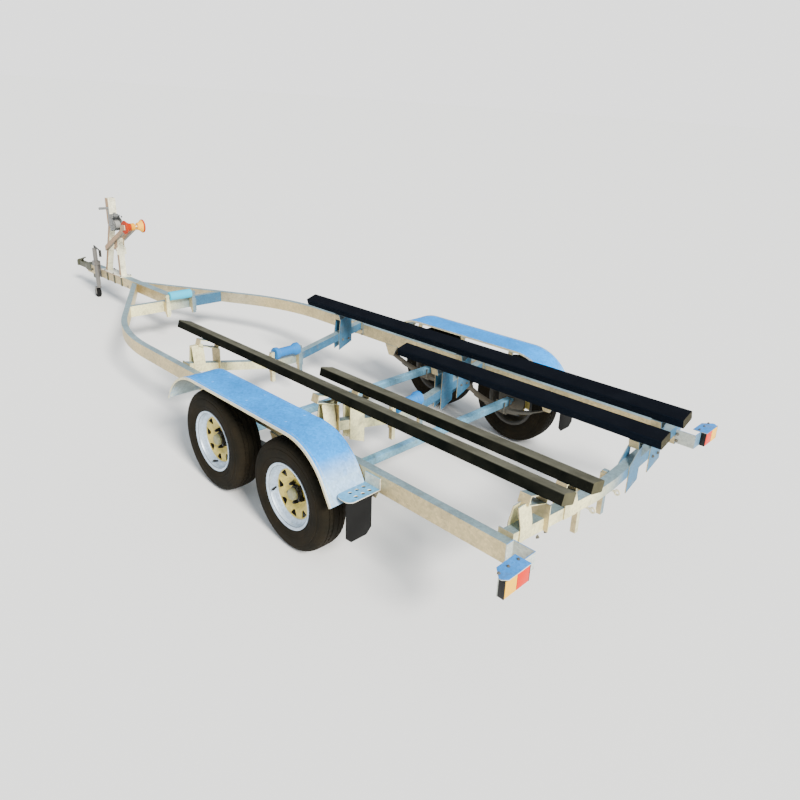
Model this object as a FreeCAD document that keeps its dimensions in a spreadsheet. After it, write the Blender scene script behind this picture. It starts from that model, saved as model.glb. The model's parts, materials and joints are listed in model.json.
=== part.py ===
"""Tandem-axle boat trailer with carpeted bunks, keel rollers and a parked jockey stand.

Lengths are millimetres.  +X is forward to the coupling, +Y is the left side, +Z is up.  The
chassis pieces are laid out on a level chassis whose zero is midway between the axles, with
heights counted from the ground there; the whole chassis then leans nose down about the axle
line, as it stands parked on the jockey wheel.  The axles and road wheels stay level.
"""
import FreeCAD
import Part
import math
import os
import Sketcher

Vector = FreeCAD.Vector
Rotation = FreeCAD.Rotation
Placement = FreeCAD.Placement

doc = FreeCAD.newDocument("boat_trailer")

# ---------------------------------------------------------------- driving dimensions
SIZES = (
    # name, value, meaning
    ("nose_down", 2.88, "degrees the chassis leans forward when parked"),
    ("clearance", 1.0, "gap left round pieces that are only close"),
    ("pin_clearance", 0.1, "radial gap between a turning piece and its pin"),
    # rails
    ("rail_width", 50.0, "rail section, across"),
    ("rail_height", 102.0, "rail section, up"),
    ("rail_wall", 4.0, "rail wall"),
    ("rail_outside", 888.0, "outer rail face from the middle plane"),
    ("rail_bottom", 468.0, "underside of the rails above the ground line"),
    ("rail_tail", 1680.0, "rail rear end behind the axle middle"),
    ("bend_start", 1790.0, "where the rails start to turn inwards"),
    ("bend_radius", 1945.0, "outer face radius of the rail bend"),
    ("bend_angle", 27.9, "degrees each rail turns inwards"),
    # drawbar and cross-members
    ("drawbar_width", 82.0, "drawbar section, across"),
    ("drawbar_height", 100.0, "drawbar section, up"),
    ("drawbar_wall", 5.0, "drawbar wall"),
    ("drawbar_rise", 13.0, "drawbar underside above the rail underside"),
    ("drawbar_front", 5110.0, "front end of the drawbar"),
    ("member_depth", 60.0, "cross-member section along the trailer"),
    ("member_height", 64.0, "cross-member section, up"),
    ("member_wall", 4.0, "cross-member wall"),
    ("member_plate", 6.0, "end plate of a dropped member"),
    ("plate_margin", 22.0, "end plate beyond its member, each way"),
    ("front_member_depth", 50.0, "front cross-member along the trailer"),
    ("front_member_station", 2969.0, "middle of the front cross-member"),
    ("second_member_station", 1200.0, "middle of the second cross-member"),
    ("mid_member_station", -168.0, "middle of the mid cross-member"),
    ("vee_drop", 96.0, "second and mid members below the rail underside, at the middle"),
    ("vee_flat", 110.0, "half length of their level middle"),
    ("vee_rise", 150.0, "how much higher their ends are"),
    ("rear_drop", 19.0, "rear member below the rail underside, at the middle"),
    ("rear_flat", 90.0, "half length of the rear member's level middle"),
    ("rear_rise", 85.0, "how much higher the rear member's ends are"),
    # bunks
    ("bunk_width", 110.0, "bunk with its carpet, across"),
    ("bunk_thickness", 60.0, "bunk with its carpet, through"),
    ("bunk_rounding", 9.0, "radius of the carpeted edges"),
    ("bunk_roll", 18.0, "degrees the outer bunks lean inwards"),
    ("inner_bunk_roll", 14.0, "degrees the inner bunks lean inwards"),
    ("outer_bunk_offset", 623.0, "outer bunk centre from the middle plane"),
    ("outer_bunk_centre", 740.0, "outer bunk centre height"),
    ("outer_bunk_front", 1603.0, "outer bunk front end"),
    ("bunk_rear", 1803.0, "bunk rear ends behind the axle middle"),
    ("inner_bunk_offset", 361.0, "inner bunk centre from the middle plane"),
    ("inner_bunk_centre", 695.0, "inner bunk centre height"),
    ("inner_bunk_front", 187.0, "inner bunk front end"),
    ("bracket_sheet", 5.0, "bunk bracket sheet"),
    ("saddle_height", 50.0, "hollow saddle under a bunk, through"),
    ("outer_saddle_in", 62.0, "outer saddles inwards of their bunk's centre"),
    ("outer_saddle_out", 100.0, "outer saddles outwards of their bunk's centre"),
    ("inner_saddle", 54.0, "inner saddles each way from their bunk's centre"),
    ("strap_reach", 172.0, "outer edge of a bracket's bent strap from its bunk's centre"),
    ("strap_across", 90.0, "a bracket's bent strap, across"),
    ("strap_knee", 16.0, "bend of a bracket's strap above its member"),
    ("strap_lean", 40.0, "how far the strap bends in under its saddle"),
    ("fork_reach", 26.0, "a bracket's fork plate inwards of its bunk's centre"),
    ("fork_margin", 25.0, "a bracket's fork plate beyond its member, each way"),
    ("outer_plate_in", 80.0, "outer brackets' flat plates inwards of their bunk's centre"),
    ("outer_plate_out", 62.0, "outer brackets' flat plates outwards of their bunk's centre"),
    ("inner_plate", 60.0, "inner brackets' flat plates each way from their bunk's centre"),
    ("second_foot_shift", 30.0, "second right bracket's plates, moved outwards"),
    ("mid_strap_shift", 100.0, "mid left bracket's straps, moved inwards"),
    ("mid_foot_shift", 68.0, "mid inner brackets' plates, moved outwards"),
    ("rear_foot_shift", 62.0, "rear right brackets' plates, moved inwards"),
    ("plate_notch", 30.0, "how much less a flat plate hangs at its outer edge"),
    ("outer_hang", 85.0, "outer brackets' flat plates below their member"),
    ("inner_hang", 98.0, "inner brackets' flat plates below their member"),
    # wheels
    ("tyre_radius", 329.0, "tyre outside"),
    ("tyre_width", 190.0, "tyre section width"),
    ("tread_width", 146.0, "flat of the tread"),
    ("tread_crown", 5.0, "how much lower the tread is at its edges"),
    ("tyre_wall", 13.0, "tyre wall"),
    ("bead_radius", 178.0, "bead seat of the wheel rim"),
    ("lip_radius", 196.0, "outside of the rim lip"),
    ("rim_half_width", 83.0, "rim lip from the rim middle"),
    ("rim_wall", 6.0, "rim sheet"),
    ("rim_well_radius", 152.0, "drop centre of the rim"),
    ("rim_seat", 30.0, "outer bead seat, from the lip"),
    ("rim_slope", 14.0, "slope from the outer bead seat to the well"),
    ("rim_rear_seat", 40.0, "inner bead seat, from the lip"),
    ("rim_rear_slope", 30.0, "slope from the inner bead seat to the well"),
    ("rim_inset", 4.0, "how far the slopes' inner faces are moved"),
    ("disc_bend_radius", 100.0, "where the wheel disc starts to dish"),
    ("disc_face", 18.0, "wheel disc behind the outer rim lip, at its edge"),
    ("disc_dish", 30.0, "how far the disc's middle lies behind its edge"),
    ("window_count", 8.0, "windows in the wheel disc"),
    ("window_low", 104.0, "inner radius of the windows"),
    ("window_high", 134.0, "outer radius of the windows"),
    ("window_width", 34.0, "width of a window at its outer radius"),
    ("wheel_track", 1032.0, "wheel middle from the middle plane"),
    ("axle_spacing", 788.0, "distance between the axles"),
    ("hub_radius", 52.0, "hub barrel"),
    ("hub_flange_radius", 78.0, "hub flange that carries the wheel"),
    ("hub_nose_radius", 34.0, "hub nose through the wheel disc"),
    ("hub_nose", 6.0, "hub nose beyond the outer rim lip"),
    ("nose_cap", 8.0, "end wall and chamfer of the hub nose"),
    ("stub_radius", 20.0, "axle stub inside the hub"),
    ("disc_radius", 118.0, "brake disc"),
    ("disc_thickness", 12.0, "brake disc"),
    ("disc_setback", 53.0, "brake disc behind the rim middle"),
    ("disc_gap", 3.0, "caliper pads from the disc"),
    ("caliper_grip", 16.0, "caliper beyond the disc, each way"),
    ("caliper_length", 84.0, "caliper along the trailer"),
    ("caliper_height", 62.0, "caliper, up"),
    ("caliper_arm", 10.0, "caliper arm"),
    ("axle_beam", 50.0, "square axle beam"),
    # springs
    ("spring_width", 50.0, "leaf width"),
    ("spring_leaf", 9.0, "one leaf"),
    ("second_leaf_half", 260.0, "half length of the second leaf"),
    ("third_leaf_half", 150.0, "half length of the third leaf"),
    ("seat_plate", 8.0, "plates that clamp the leaves to the axle"),
    ("seat_length", 110.0, "clamp plates along the trailer"),
    ("eye_reach", 390.0, "outer spring eye from its axle"),
    ("eye_drop", 72.0, "outer spring eye below the rail underside"),
    ("eye_radius", 17.0, "outside of the spring eye"),
    ("spring_pin", 8.0, "spring pin radius"),
    ("rocker_reach", 62.0, "spring eye on the rocker from its pivot"),
    ("rocker_drop", 52.0, "spring eyes on the rocker below its pivot"),
    ("pivot_drop", 70.0, "rocker pivot below the rail underside"),
    ("hanger_sheet", 5.0, "hanger and rocker side plates"),
    ("hanger_top_half", 70.0, "half length of a hanger at the rail"),
    ("hanger_foot_half", 26.0, "half length of a hanger at its pin"),
    # mudguards and steps
    ("guard_outside", 1146.0, "outer edge of the mudguard"),
    ("guard_gap", 6.0, "inner edge of the mudguard from the rail"),
    ("guard_sheet", 3.0, "mudguard sheet"),
    ("guard_top", 725.5, "top of the mudguard"),
    ("guard_middle", 53.0, "middle of the mudguard ahead of the axle middle"),
    ("guard_flat", 492.0, "half length of its level top"),
    ("guard_radius", 358.0, "end roll of the mudguard"),
    ("guard_sweep", 60.0, "degrees of the end roll"),
    ("guard_skirt", 120.0, "straight run below the rear roll"),
    ("guard_front_skirt", 55.0, "straight run below the front roll"),
    ("guard_lip", 14.0, "turned outer edge"),
    ("stay_sheet", 5.0, "mudguard stay strap"),
    ("stay_width", 40.0, "mudguard stay strap along the trailer"),
    ("stay_end", 80.0, "stay end inside the outer edge of the mudguard"),
    ("step_length", 112.0, "step plate along the trailer"),
    ("step_gap", 5.0, "step plate behind the guard end"),
    ("step_top", 490.0, "step plate top"),
    ("step_sheet", 5.0, "step plate sheet"),
    ("step_outside", 1100.0, "outer end of the step plate"),
    ("step_corner", 40.0, "rounded corner of the step plate"),
    ("step_flange", 62.0, "step flange on the rail, up"),
    ("step_hole", 11.0, "radius of the holes in the step plate"),
    ("step_hole_pitch", 46.0, "spacing of the holes in the step plate"),
    ("flap_width", 174.0, "mud flap"),
    ("flap_bottom", 222.0, "underside of the mud flap"),
    ("flap_setback", 68.0, "mud flap behind the front edge of the step plate"),
    ("flap_sheet", 5.0, "mud flap"),
    ("flap_outside", 1080.0, "outer edge of the mud flap"),
    ("flap_corner", 34.0, "cut corner of the mud flap"),
    # lamps
    ("lamp_width", 180.0, "tail lamp, across"),
    ("lamp_height", 83.5, "tail lamp, up"),
    ("lamp_depth", 32.0, "tail lamp, through"),
    ("lamp_outside", 1095.0, "outer end of the tail lamp"),
    ("lamp_bottom", 481.0, "underside of the tail lamp"),
    ("lamp_setback", 112.0, "lamp bracket plate behind the rail end"),
    ("lamp_plate", 4.0, "lamp bracket sheet"),
    ("lamp_shelf", 34.0, "top flange of the lamp bracket, back over the lamp"),
    ("lamp_shelf_front", 50.0, "top flange of the lamp bracket, ahead of its plate"),
    ("lamp_mitre", 22.0, "cut outer corner of the top flange"),
    # coupling
    ("coupling_length", 359.0, "coupling from the drawbar end to its nose"),
    ("coupling_overlap", 120.0, "coupling body on the drawbar"),
    ("coupling_sheet", 6.0, "coupling body sheet"),
    ("coupling_rise", 20.0, "coupling underside above the drawbar underside"),
    ("coupling_height", 60.0, "coupling neck, up"),
    ("coupling_neck", 50.0, "coupling neck, across"),
    ("head_radius", 38.0, "coupling head round the ball"),
    ("head_height", 74.0, "coupling head, up"),
    ("ball_radius", 25.0, "towing ball"),
    ("ball_clearance", 0.3, "ball to socket"),
    ("ball_height", 26.0, "ball centre above the coupling underside"),
    ("latch_length", 120.0, "coupling latch lever"),
    ("latch_width", 24.0, "coupling latch lever, across"),
    ("latch_thickness", 12.0, "coupling latch lever, through"),
    ("latch_rise", 26.0, "latch lever above the coupling head"),
    ("tab_length", 60.0, "chain tab under the drawbar"),
    ("tab_height", 68.0, "chain tab under the drawbar, up"),
    ("tab_sheet", 8.0, "chain tab sheet"),
    # jockey stand
    ("jockey_station", 4727.0, "jockey stand station"),
    ("jockey_tube_radius", 24.0, "outer tube"),
    ("jockey_tube_wall", 3.0, "outer tube wall"),
    ("jockey_leg_radius", 20.6, "inner leg"),
    ("jockey_gap", 11.0, "outer tube to the drawbar face"),
    ("jockey_rise", 236.0, "top of the outer tube above the drawbar"),
    ("jockey_low", 396.0, "bottom of the outer tube"),
    ("jockey_cap", 12.0, "closed top of the outer tube"),
    ("jockey_leg_room", 84.0, "free length above the inner leg"),
    ("jockey_clamp_half", 36.0, "half length of the clamp plate"),
    ("jockey_clamp_rise", 90.0, "clamp plate above the drawbar"),
    ("jockey_collar_height", 44.0, "clamp collar, up"),
    ("jockey_wheel_radius", 54.0, "jockey wheel"),
    ("jockey_wheel_width", 42.0, "jockey wheel"),
    ("jockey_lead", 42.0, "jockey wheel ahead of its leg"),
    ("jockey_pin_radius", 7.0, "jockey wheel pin"),
    ("jockey_fork_sheet", 5.0, "jockey wheel fork"),
    ("jockey_fork_half", 15.0, "half length of a fork cheek"),
    ("jockey_crank_reach", 150.0, "crank arm of the jockey stand"),
    ("jockey_crank_rod", 7.0, "crank rod radius"),
    # winch post
    ("post_side", 80.0, "square post"),
    ("post_wall", 4.0, "post wall"),
    ("post_station", 4312.0, "middle of the post"),
    ("post_height", 278.0, "square post, up"),
    ("post_leg_front", 4558.0, "foot of the front leg"),
    ("post_leg_rear", 4190.0, "foot of the rear leg"),
    ("post_leg_side", 50.0, "legs along the trailer"),
    ("post_leg_width", 60.0, "legs, across"),
    ("leg_rise", 300.0, "top of the front leg above the roller arms' root"),
    ("post_lap", 22.3116, "square post below the front leg's top"),
    ("base_sheet", 8.0, "base plate on the drawbar"),
    ("base_overhang", 24.0, "base plate beyond the drawbar, each side"),
    ("base_margin", 80.0, "base plate beyond the legs"),
    ("strap_width", 30.0, "post strap along the trailer"),
    ("strap_sheet", 5.0, "post strap"),
    ("strap_inset", 40.0, "rear post strap from the base plate's rear end"),
    ("front_strap_inset", 115.0, "front post strap from the base plate's front end"),
    ("gusset_half", 52.0, "half length of the gusset on the rear leg"),
    ("gusset_drop", 130.0, "gusset below the roller arms"),
    # bow roller
    ("bow_station", 3788.0, "bow roller station"),
    ("bow_height", 1168.0, "bow roller centre height"),
    ("bow_end_radius", 68.0, "bow roller flared ends"),
    ("bow_core_radius", 34.0, "bow roller waist"),
    ("bow_core_half", 18.0, "half length of the waist"),
    ("bow_rim", 12.0, "straight edge of the flared ends"),
    ("bow_length", 200.0, "bow roller"),
    ("bow_pin", 10.0, "bow roller pin radius"),
    ("bow_fork_sheet", 5.0, "bow roller fork"),
    ("bow_fork_half", 24.0, "half width of a fork cheek at its pin"),
    ("arm_width", 30.0, "roller arm section, across"),
    ("arm_height", 50.0, "roller arm section, up"),
    ("arm_root", 855.0, "height where the roller arms leave the front leg"),
    ("bow_reach", 17.0, "roller arm ends ahead of the roller"),
    ("arm_end_drop", 20.0, "roller arm end below the roller's axis"),
    # winch
    ("winch_reach", 60.0, "winch drum axis behind the post"),
    ("winch_rise", 165.0, "winch drum axis above the roller arms"),
    ("winch_inside", 84.0, "between the winch side plates"),
    ("winch_plate", 5.0, "winch side plates"),
    ("winch_tall", 105.0, "winch side plates above the axis, at the post"),
    ("winch_deep", 75.0, "winch side plates below the axis, at the post"),
    ("winch_nose", 44.0, "winch side plates round the axis"),
    ("drum_flange_radius", 50.0, "drum flanges"),
    ("drum_flange", 4.0, "drum flange sheet"),
    ("drum_core_radius", 24.0, "drum barrel"),
    ("drum_shaft_radius", 9.0, "drum shaft"),
    ("shaft_end", 22.0, "drum shaft beyond the winch side plates"),
    ("crank_length", 190.0, "winch handle"),
    ("crank_half_width", 13.0, "half width of the winch handle bar"),
    ("crank_sheet", 8.0, "winch handle bar"),
    ("grip_radius", 13.0, "winch handle grip"),
    ("grip_length", 90.0, "winch handle grip"),
    # keel rollers
    ("keel_pin", 9.0, "keel roller pin radius"),
    ("keel_length", 226.0, "keel roller"),
    ("keel_radius", 50.0, "ribbed keel rollers"),
    ("keel_waist", 36.0, "waist of the ribbed keel rollers"),
    ("keel_end", 26.0, "straight end of the ribbed keel rollers"),
    ("front_keel_radius", 42.0, "plain front keel roller"),
    ("stem_side", 30.0, "square stems of the keel rollers"),
    ("stem_offset", 134.0, "stems from the middle plane"),
    ("sleeve_side", 40.0, "sleeve round a stem"),
    ("sleeve_drop", 20.0, "sleeve below its member"),
    ("front_sleeve_gap", 34.0, "front sleeves from their member's face"),
    ("front_stem_hang", 44.0, "front stems below their member"),
    ("rear_stem_hang", 205.0, "rear props below their member"),
    ("prop_inset", 10.0, "rear prop sleeves below the top of their member"),
    ("roller_gap", 12.0, "keel rollers above their member"),
    ("roller_edge", 6.0, "chamfer of the keel rollers"),
    ("pin_inset", 20.0, "roller pin below the top of its stems"),
    ("stem_hang", 100.0, "stem below its member"),
)

sheet = doc.addObject("Spreadsheet::Sheet", "Sizes")
VALUES = {}
for row, (alias, value, meaning) in enumerate(SIZES, start=1):
    sheet.set("A%d" % row, alias)
    sheet.set("B%d" % row, str(value))
    sheet.set("C%d" % row, meaning)
    sheet.setAlias("B%d" % row, alias)
    VALUES[alias] = value
doc.recompute()


class Sized:
    """Reads a named size as a number."""

    def __getattr__(self, name):
        return VALUES[name]


D = Sized()
AXLE_LINE = Vector(0, 0, D.tyre_radius)
PARKED = Placement(Vector(0, 0, 0), Rotation(Vector(0, 1, 0), D.nose_down), AXLE_LINE)

NODES = []
X_AXIS = Vector(1, 0, 0)
Y_AXIS = Vector(0, 1, 0)
Z_AXIS = Vector(0, 0, 1)
ROLES = {"XY": "XY_Plane", "XZ": "XZ_Plane", "YZ": "YZ_Plane"}
LEFT = 1
RIGHT = -1
SIDES = (("left", LEFT), ("right", RIGHT))


# ---------------------------------------------------------------- helpers
def node(item, label, placement=None):
    """Make an object one of the trailer's pieces, named and put in its place."""
    item.Label = label
    if placement is not None:
        item.Placement = placement.multiply(item.Placement)
    NODES.append(item)
    return item


def new_body(name):
    return doc.addObject("PartDesign::Body", name)


def origin_plane(body, plane):
    for feature in body.Origin.OriginFeatures:
        if feature.Role == ROLES[plane]:
            return feature
    raise ValueError(plane)


def sketch_on(body, plane, offset=0.0):
    sketch = body.newObject("Sketcher::SketchObject", body.Name + "_sketch")
    sketch.AttachmentSupport = (origin_plane(body, plane), [""])
    sketch.MapMode = "FlatFace"
    sketch.AttachmentOffset = Placement(Vector(0, 0, offset), Rotation())
    return sketch


def draw(sketch, outline):
    """Add a closed outline: points, and ("arc", through, end) for an arc."""
    start = outline[0]
    last = start
    for step in outline[1:] + [start]:
        if step[0] == "arc":
            through = Vector(step[1][0], step[1][1], 0)
            end = step[2]
            arc = Part.Arc(Vector(last[0], last[1], 0), through, Vector(end[0], end[1], 0))
            sketch.addGeometry(arc, False)
            last = end
        elif math.hypot(step[0] - last[0], step[1] - last[1]) > 1e-6:
            line = Part.LineSegment(Vector(last[0], last[1], 0), Vector(step[0], step[1], 0))
            sketch.addGeometry(line, False)
            last = step


def rectangle(sketch, across, up, centre=(0.0, 0.0)):
    """A rectangle whose two sizes are bound to the sheet."""
    half_a = VALUES[across] / 2
    half_u = VALUES[up] / 2
    corners = [(-half_a, -half_u), (half_a, -half_u), (half_a, half_u), (-half_a, half_u)]
    points = [Vector(centre[0] + a, centre[1] + b, 0) for a, b in corners]
    first = len(sketch.Geometry)
    for index in range(4):
        sketch.addGeometry(Part.LineSegment(points[index], points[(index + 1) % 4]), False)
    for index in range(4):
        following = first + (index + 1) % 4
        sketch.addConstraint(Sketcher.Constraint("Coincident", first + index, 2, following, 1))
    for index, kind in enumerate(("Horizontal", "Vertical", "Horizontal", "Vertical")):
        sketch.addConstraint(Sketcher.Constraint(kind, first + index))
    base = points[0]
    sketch.addConstraint(Sketcher.Constraint("DistanceX", first, 1, first, 2, 2 * half_a))
    sketch.setExpression("Constraints[%d]" % (sketch.ConstraintCount - 1), "Sizes." + across)
    sketch.addConstraint(Sketcher.Constraint("DistanceY", first + 1, 1, first + 1, 2, 2 * half_u))
    sketch.setExpression("Constraints[%d]" % (sketch.ConstraintCount - 1), "Sizes." + up)
    sketch.addConstraint(Sketcher.Constraint("DistanceX", -1, 1, first, 1, base.x))
    sketch.addConstraint(Sketcher.Constraint("DistanceY", -1, 1, first, 1, base.y))


def set_length(feature, length, key="Length"):
    if isinstance(length, str):
        feature.setExpression(key, length)
    else:
        setattr(feature, key, length)


def pad(body, sketch, length, middle=False, back=False):
    feature = body.newObject("PartDesign::Pad", body.Name + "_pad")
    feature.Profile = sketch
    set_length(feature, length)
    feature.Midplane = middle
    feature.Reversed = back
    sketch.Visibility = False
    return feature


def pocket(body, sketch, length, middle=False, back=False):
    feature = body.newObject("PartDesign::Pocket", body.Name + "_pocket")
    feature.Profile = sketch
    set_length(feature, length)
    feature.Midplane = middle
    feature.Reversed = back
    return feature


def revolve(body, sketch, axis="V_Axis", angle=360.0):
    feature = body.newObject("PartDesign::Revolution", body.Name + "_turned")
    feature.Profile = sketch
    feature.ReferenceAxis = (sketch, [axis])
    feature.Angle = angle
    return feature


def prism(name, plane, outline, length, offset=0.0, middle=False, back=False):
    """A body that is one outline pulled straight."""
    body = new_body(name)
    sketch = sketch_on(body, plane, offset)
    draw(sketch, outline)
    pad(body, sketch, length, middle, back)
    return body


def turned(name, outline):
    """A body turned about the trailer's Y axis; the outline is (radius, along)."""
    body = new_body(name)
    sketch = sketch_on(body, "XY")
    draw(sketch, outline)
    revolve(body, sketch)
    return body


def block(name, length, width, height, corner):
    """A box with bound sizes; the corner is its lowest one."""
    item = doc.addObject("Part::Box", name)
    set_length(item, length, "Length")
    set_length(item, width, "Width")
    set_length(item, height, "Height")
    item.Placement = Placement(Vector(*corner), Rotation())
    return item


def rod(name, radius, height, base, axis):
    """A cylinder with bound sizes from a base point along an axis."""
    item = doc.addObject("Part::Cylinder", name)
    set_length(item, radius, "Radius")
    set_length(item, height, "Height")
    item.Placement = Placement(Vector(*base), Rotation(Z_AXIS, Vector(*axis)))
    return item


def fuse(name, items):
    item = doc.addObject("Part::MultiFuse", name)
    item.Shapes = items
    item.Refine = True
    return item


def cut(name, base, tool):
    item = doc.addObject("Part::Cut", name)
    item.Base = base
    item.Tool = tool
    return item


def gather(name, items):
    item = doc.addObject("Part::Compound", name)
    item.Links = items
    return item


def mirrored(name, source):
    """The same piece on the other side of the middle plane."""
    item = doc.addObject("Part::Mirroring", name)
    item.Source = source
    item.Base = Vector(0, 0, 0)
    item.Normal = Y_AXIS
    return item


# ---------------------------------------------------------------- rails
SIN_BEND = math.sin(math.radians(D.bend_angle))
COS_BEND = math.cos(math.radians(D.bend_angle))


def rail_line(inset):
    """Where a line that runs inset from the outer rail face starts and ends its bend."""
    radius = D.bend_radius - inset
    side = D.rail_outside - inset
    centre = (D.bend_start, D.rail_outside - D.bend_radius)
    begin = (D.bend_start, side)
    half = math.radians(D.bend_angle) / 2
    through = (centre[0] + radius * math.sin(half), centre[1] + radius * math.cos(half))
    end = (centre[0] + radius * SIN_BEND, centre[1] + radius * COS_BEND)
    return begin, through, end


def rail_side(station, inset):
    """Distance from the middle plane of a line inset from the outer rail face."""
    begin, through, end = rail_line(inset)
    if station <= begin[0]:
        return begin[1]
    if station >= end[0]:
        return end[1] - (station - end[0]) * SIN_BEND / COS_BEND
    radius = D.bend_radius - inset
    rise = math.sqrt(radius ** 2 - (station - D.bend_start) ** 2)
    return D.rail_outside - D.bend_radius + rise


def rail_meets(side, inset):
    """Station where a line inset from the outer rail face reaches a distance off the middle."""
    end = rail_line(inset)[2]
    return end[0] + (end[1] - side) * COS_BEND / SIN_BEND


def rail_strip(outer, inner, tail, side):
    """Plan outline between two lines inset from the outer face, ending on the drawbar."""
    begin_o, through_o, end_o = rail_line(outer)
    begin_i, through_i, end_i = rail_line(inner)
    return [
        (tail, begin_o[1]),
        begin_o,
        ("arc", through_o, end_o),
        (rail_meets(side, outer), side),
        (rail_meets(side, inner), side),
        end_i,
        ("arc", through_i, begin_i),
        (tail, begin_i[1]),
    ]


def rail(name):
    body = new_body(name)
    half_bar = D.drawbar_width / 2
    sketch = sketch_on(body, "XY", D.rail_bottom)
    draw(sketch, rail_strip(0.0, D.rail_width, -D.rail_tail, half_bar))
    pad(body, sketch, "Sizes.rail_height")
    hollow = sketch_on(body, "XY", D.rail_bottom + D.rail_wall)
    draw(hollow, rail_strip(D.rail_wall, D.rail_width - D.rail_wall, -D.rail_tail - 1, half_bar - 1))
    pocket(body, hollow, "Sizes.rail_height - 2 * Sizes.rail_wall", back=True)
    return body


rail_left = rail("rail_left")
node(rail_left, "rail_left", PARKED)
node(mirrored("rail_right", rail("rail_right_form")), "rail_right", PARKED)

# ---------------------------------------------------------------- drawbar
drawbar_bottom = D.rail_bottom + D.drawbar_rise
drawbar_top = drawbar_bottom + D.drawbar_height
drawbar_middle = (drawbar_bottom + drawbar_top) / 2
half_bar = D.drawbar_width / 2
front_member_nose = D.front_member_station + D.front_member_depth / 2
drawbar_length = D.drawbar_front - front_member_nose

bar = new_body("drawbar")
bar_sketch = sketch_on(bar, "YZ", front_member_nose)
rectangle(bar_sketch, "drawbar_width", "drawbar_height", (0.0, drawbar_middle))
pad(bar, bar_sketch, drawbar_length)
bar_hollow = sketch_on(bar, "YZ", front_member_nose)
wall = D.drawbar_wall
draw(bar_hollow, [
    (-half_bar + wall, drawbar_bottom + wall),
    (half_bar - wall, drawbar_bottom + wall),
    (half_bar - wall, drawbar_top - wall),
    (-half_bar + wall, drawbar_top - wall),
])
pocket(bar, bar_hollow, drawbar_length, back=True)
node(bar, "drawbar", PARKED)

# ---------------------------------------------------------------- cross-members
member_half = D.member_depth / 2
rail_inside = D.rail_outside - D.rail_width
rail_middle = D.rail_outside - D.rail_width / 2
rail_top = D.rail_bottom + D.rail_height


def front_member(name):
    """A channel between the rails, open to the front; its ends follow the rails."""
    rear = D.front_member_station - D.front_member_depth / 2
    front = front_member_nose
    side_rear = rail_side(rear, D.rail_width)
    side_front = rail_side(front, D.rail_width)
    body = new_body(name)
    sketch = sketch_on(body, "XY", D.rail_bottom)
    draw(sketch, [(rear, -side_rear), (front, -side_front), (front, side_front), (rear, side_rear)])
    pad(body, sketch, "Sizes.rail_height")
    back = rear + D.member_wall
    side_back = rail_side(back, D.rail_width)
    hollow = sketch_on(body, "XY", D.rail_bottom + D.member_wall)
    draw(hollow, [
        (back, -side_back - D.member_wall),
        (front + D.member_wall, -side_front - D.member_wall),
        (front + D.member_wall, side_front + D.member_wall),
        (back, side_back + D.member_wall),
    ])
    pocket(body, hollow, "Sizes.rail_height - 2 * Sizes.member_wall", back=True)
    return body


MEMBERS = {
    # name: station, underside at the middle, half of the level middle, rise of the ends
    "second": (D.second_member_station, D.rail_bottom - D.vee_drop, D.vee_flat, D.vee_rise),
    "mid": (D.mid_member_station, D.rail_bottom - D.vee_drop, D.vee_flat, D.vee_rise),
    "rear": (-D.rail_tail + member_half, D.rail_bottom - D.rear_drop, D.rear_flat, D.rear_rise),
}


def member_bottom(name, offset):
    """Underside of a dropped member at a distance from the middle plane."""
    station, bottom, flat, rise = MEMBERS[name]
    slope = rise / (rail_inside - flat)
    return bottom + slope * max(0.0, abs(offset) - flat)


def member_top(name, offset):
    return member_bottom(name, offset) + D.member_height


def member_outline(name, inset, end):
    """The dropped member seen along the trailer, each edge inset by a wall."""
    flat = MEMBERS[name][2]
    low = member_bottom(name, 0.0) + inset
    high = member_top(name, 0.0) - inset
    low_end = member_bottom(name, end) + inset
    high_end = member_top(name, end) - inset
    return [
        (-end, low_end), (-flat, low), (flat, low), (end, low_end),
        (end, high_end), (flat, high), (-flat, high), (-end, high_end),
    ]


def dropped_member(name):
    """A box section bent down in the middle, with end plates on the rails."""
    station = MEMBERS[name][0]
    rear = station - member_half
    label = "cross_member_" + name
    body = new_body(label + "_bar")
    sketch = sketch_on(body, "YZ", rear)
    draw(sketch, member_outline(name, 0.0, rail_inside))
    pad(body, sketch, "Sizes.member_depth")
    hollow = sketch_on(body, "YZ", rear + D.member_wall)
    draw(hollow, member_outline(name, D.member_wall, rail_inside + D.member_wall))
    pocket(body, hollow, "Sizes.member_depth - 2 * Sizes.member_wall", back=True)
    plate_low = D.rail_bottom + D.plate_margin / 2
    plate_high = member_top(name, rail_inside)
    pieces = [body]
    for side_name, side in SIDES:
        low = rail_inside - D.member_plate if side == LEFT else -rail_inside
        start = rear if name == "rear" else rear - D.plate_margin
        pieces.append(block(label + "_plate_" + side_name,
                            station + member_half + D.plate_margin - start, "Sizes.member_plate",
                            plate_high - plate_low, (start, low, plate_low)))
    return fuse(label, pieces)


node(front_member("cross_member_front"), "cross_member_front", PARKED)
for name in MEMBERS:
    node(dropped_member(name), "cross_member_" + name, PARKED)

# ---------------------------------------------------------------- keel rollers
front_face = D.front_member_station - D.front_member_depth / 2
KEELS = (
    # name, member face, towards the sleeve, sleeve gap, member underside, member top,
    # roller radius, stem below the member
    ("front", front_face, -1, D.front_sleeve_gap, D.rail_bottom, rail_top,
     D.front_keel_radius, D.front_stem_hang),
    ("second", MEMBERS["second"][0] - member_half, -1, 0.0, member_bottom("second", D.stem_offset),
     member_top("second", D.stem_offset), D.keel_radius, D.stem_hang),
    ("mid", MEMBERS["mid"][0] - member_half, -1, 0.0, member_bottom("mid", D.stem_offset),
     member_top("mid", D.stem_offset), D.keel_radius, D.stem_hang),
)


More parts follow.
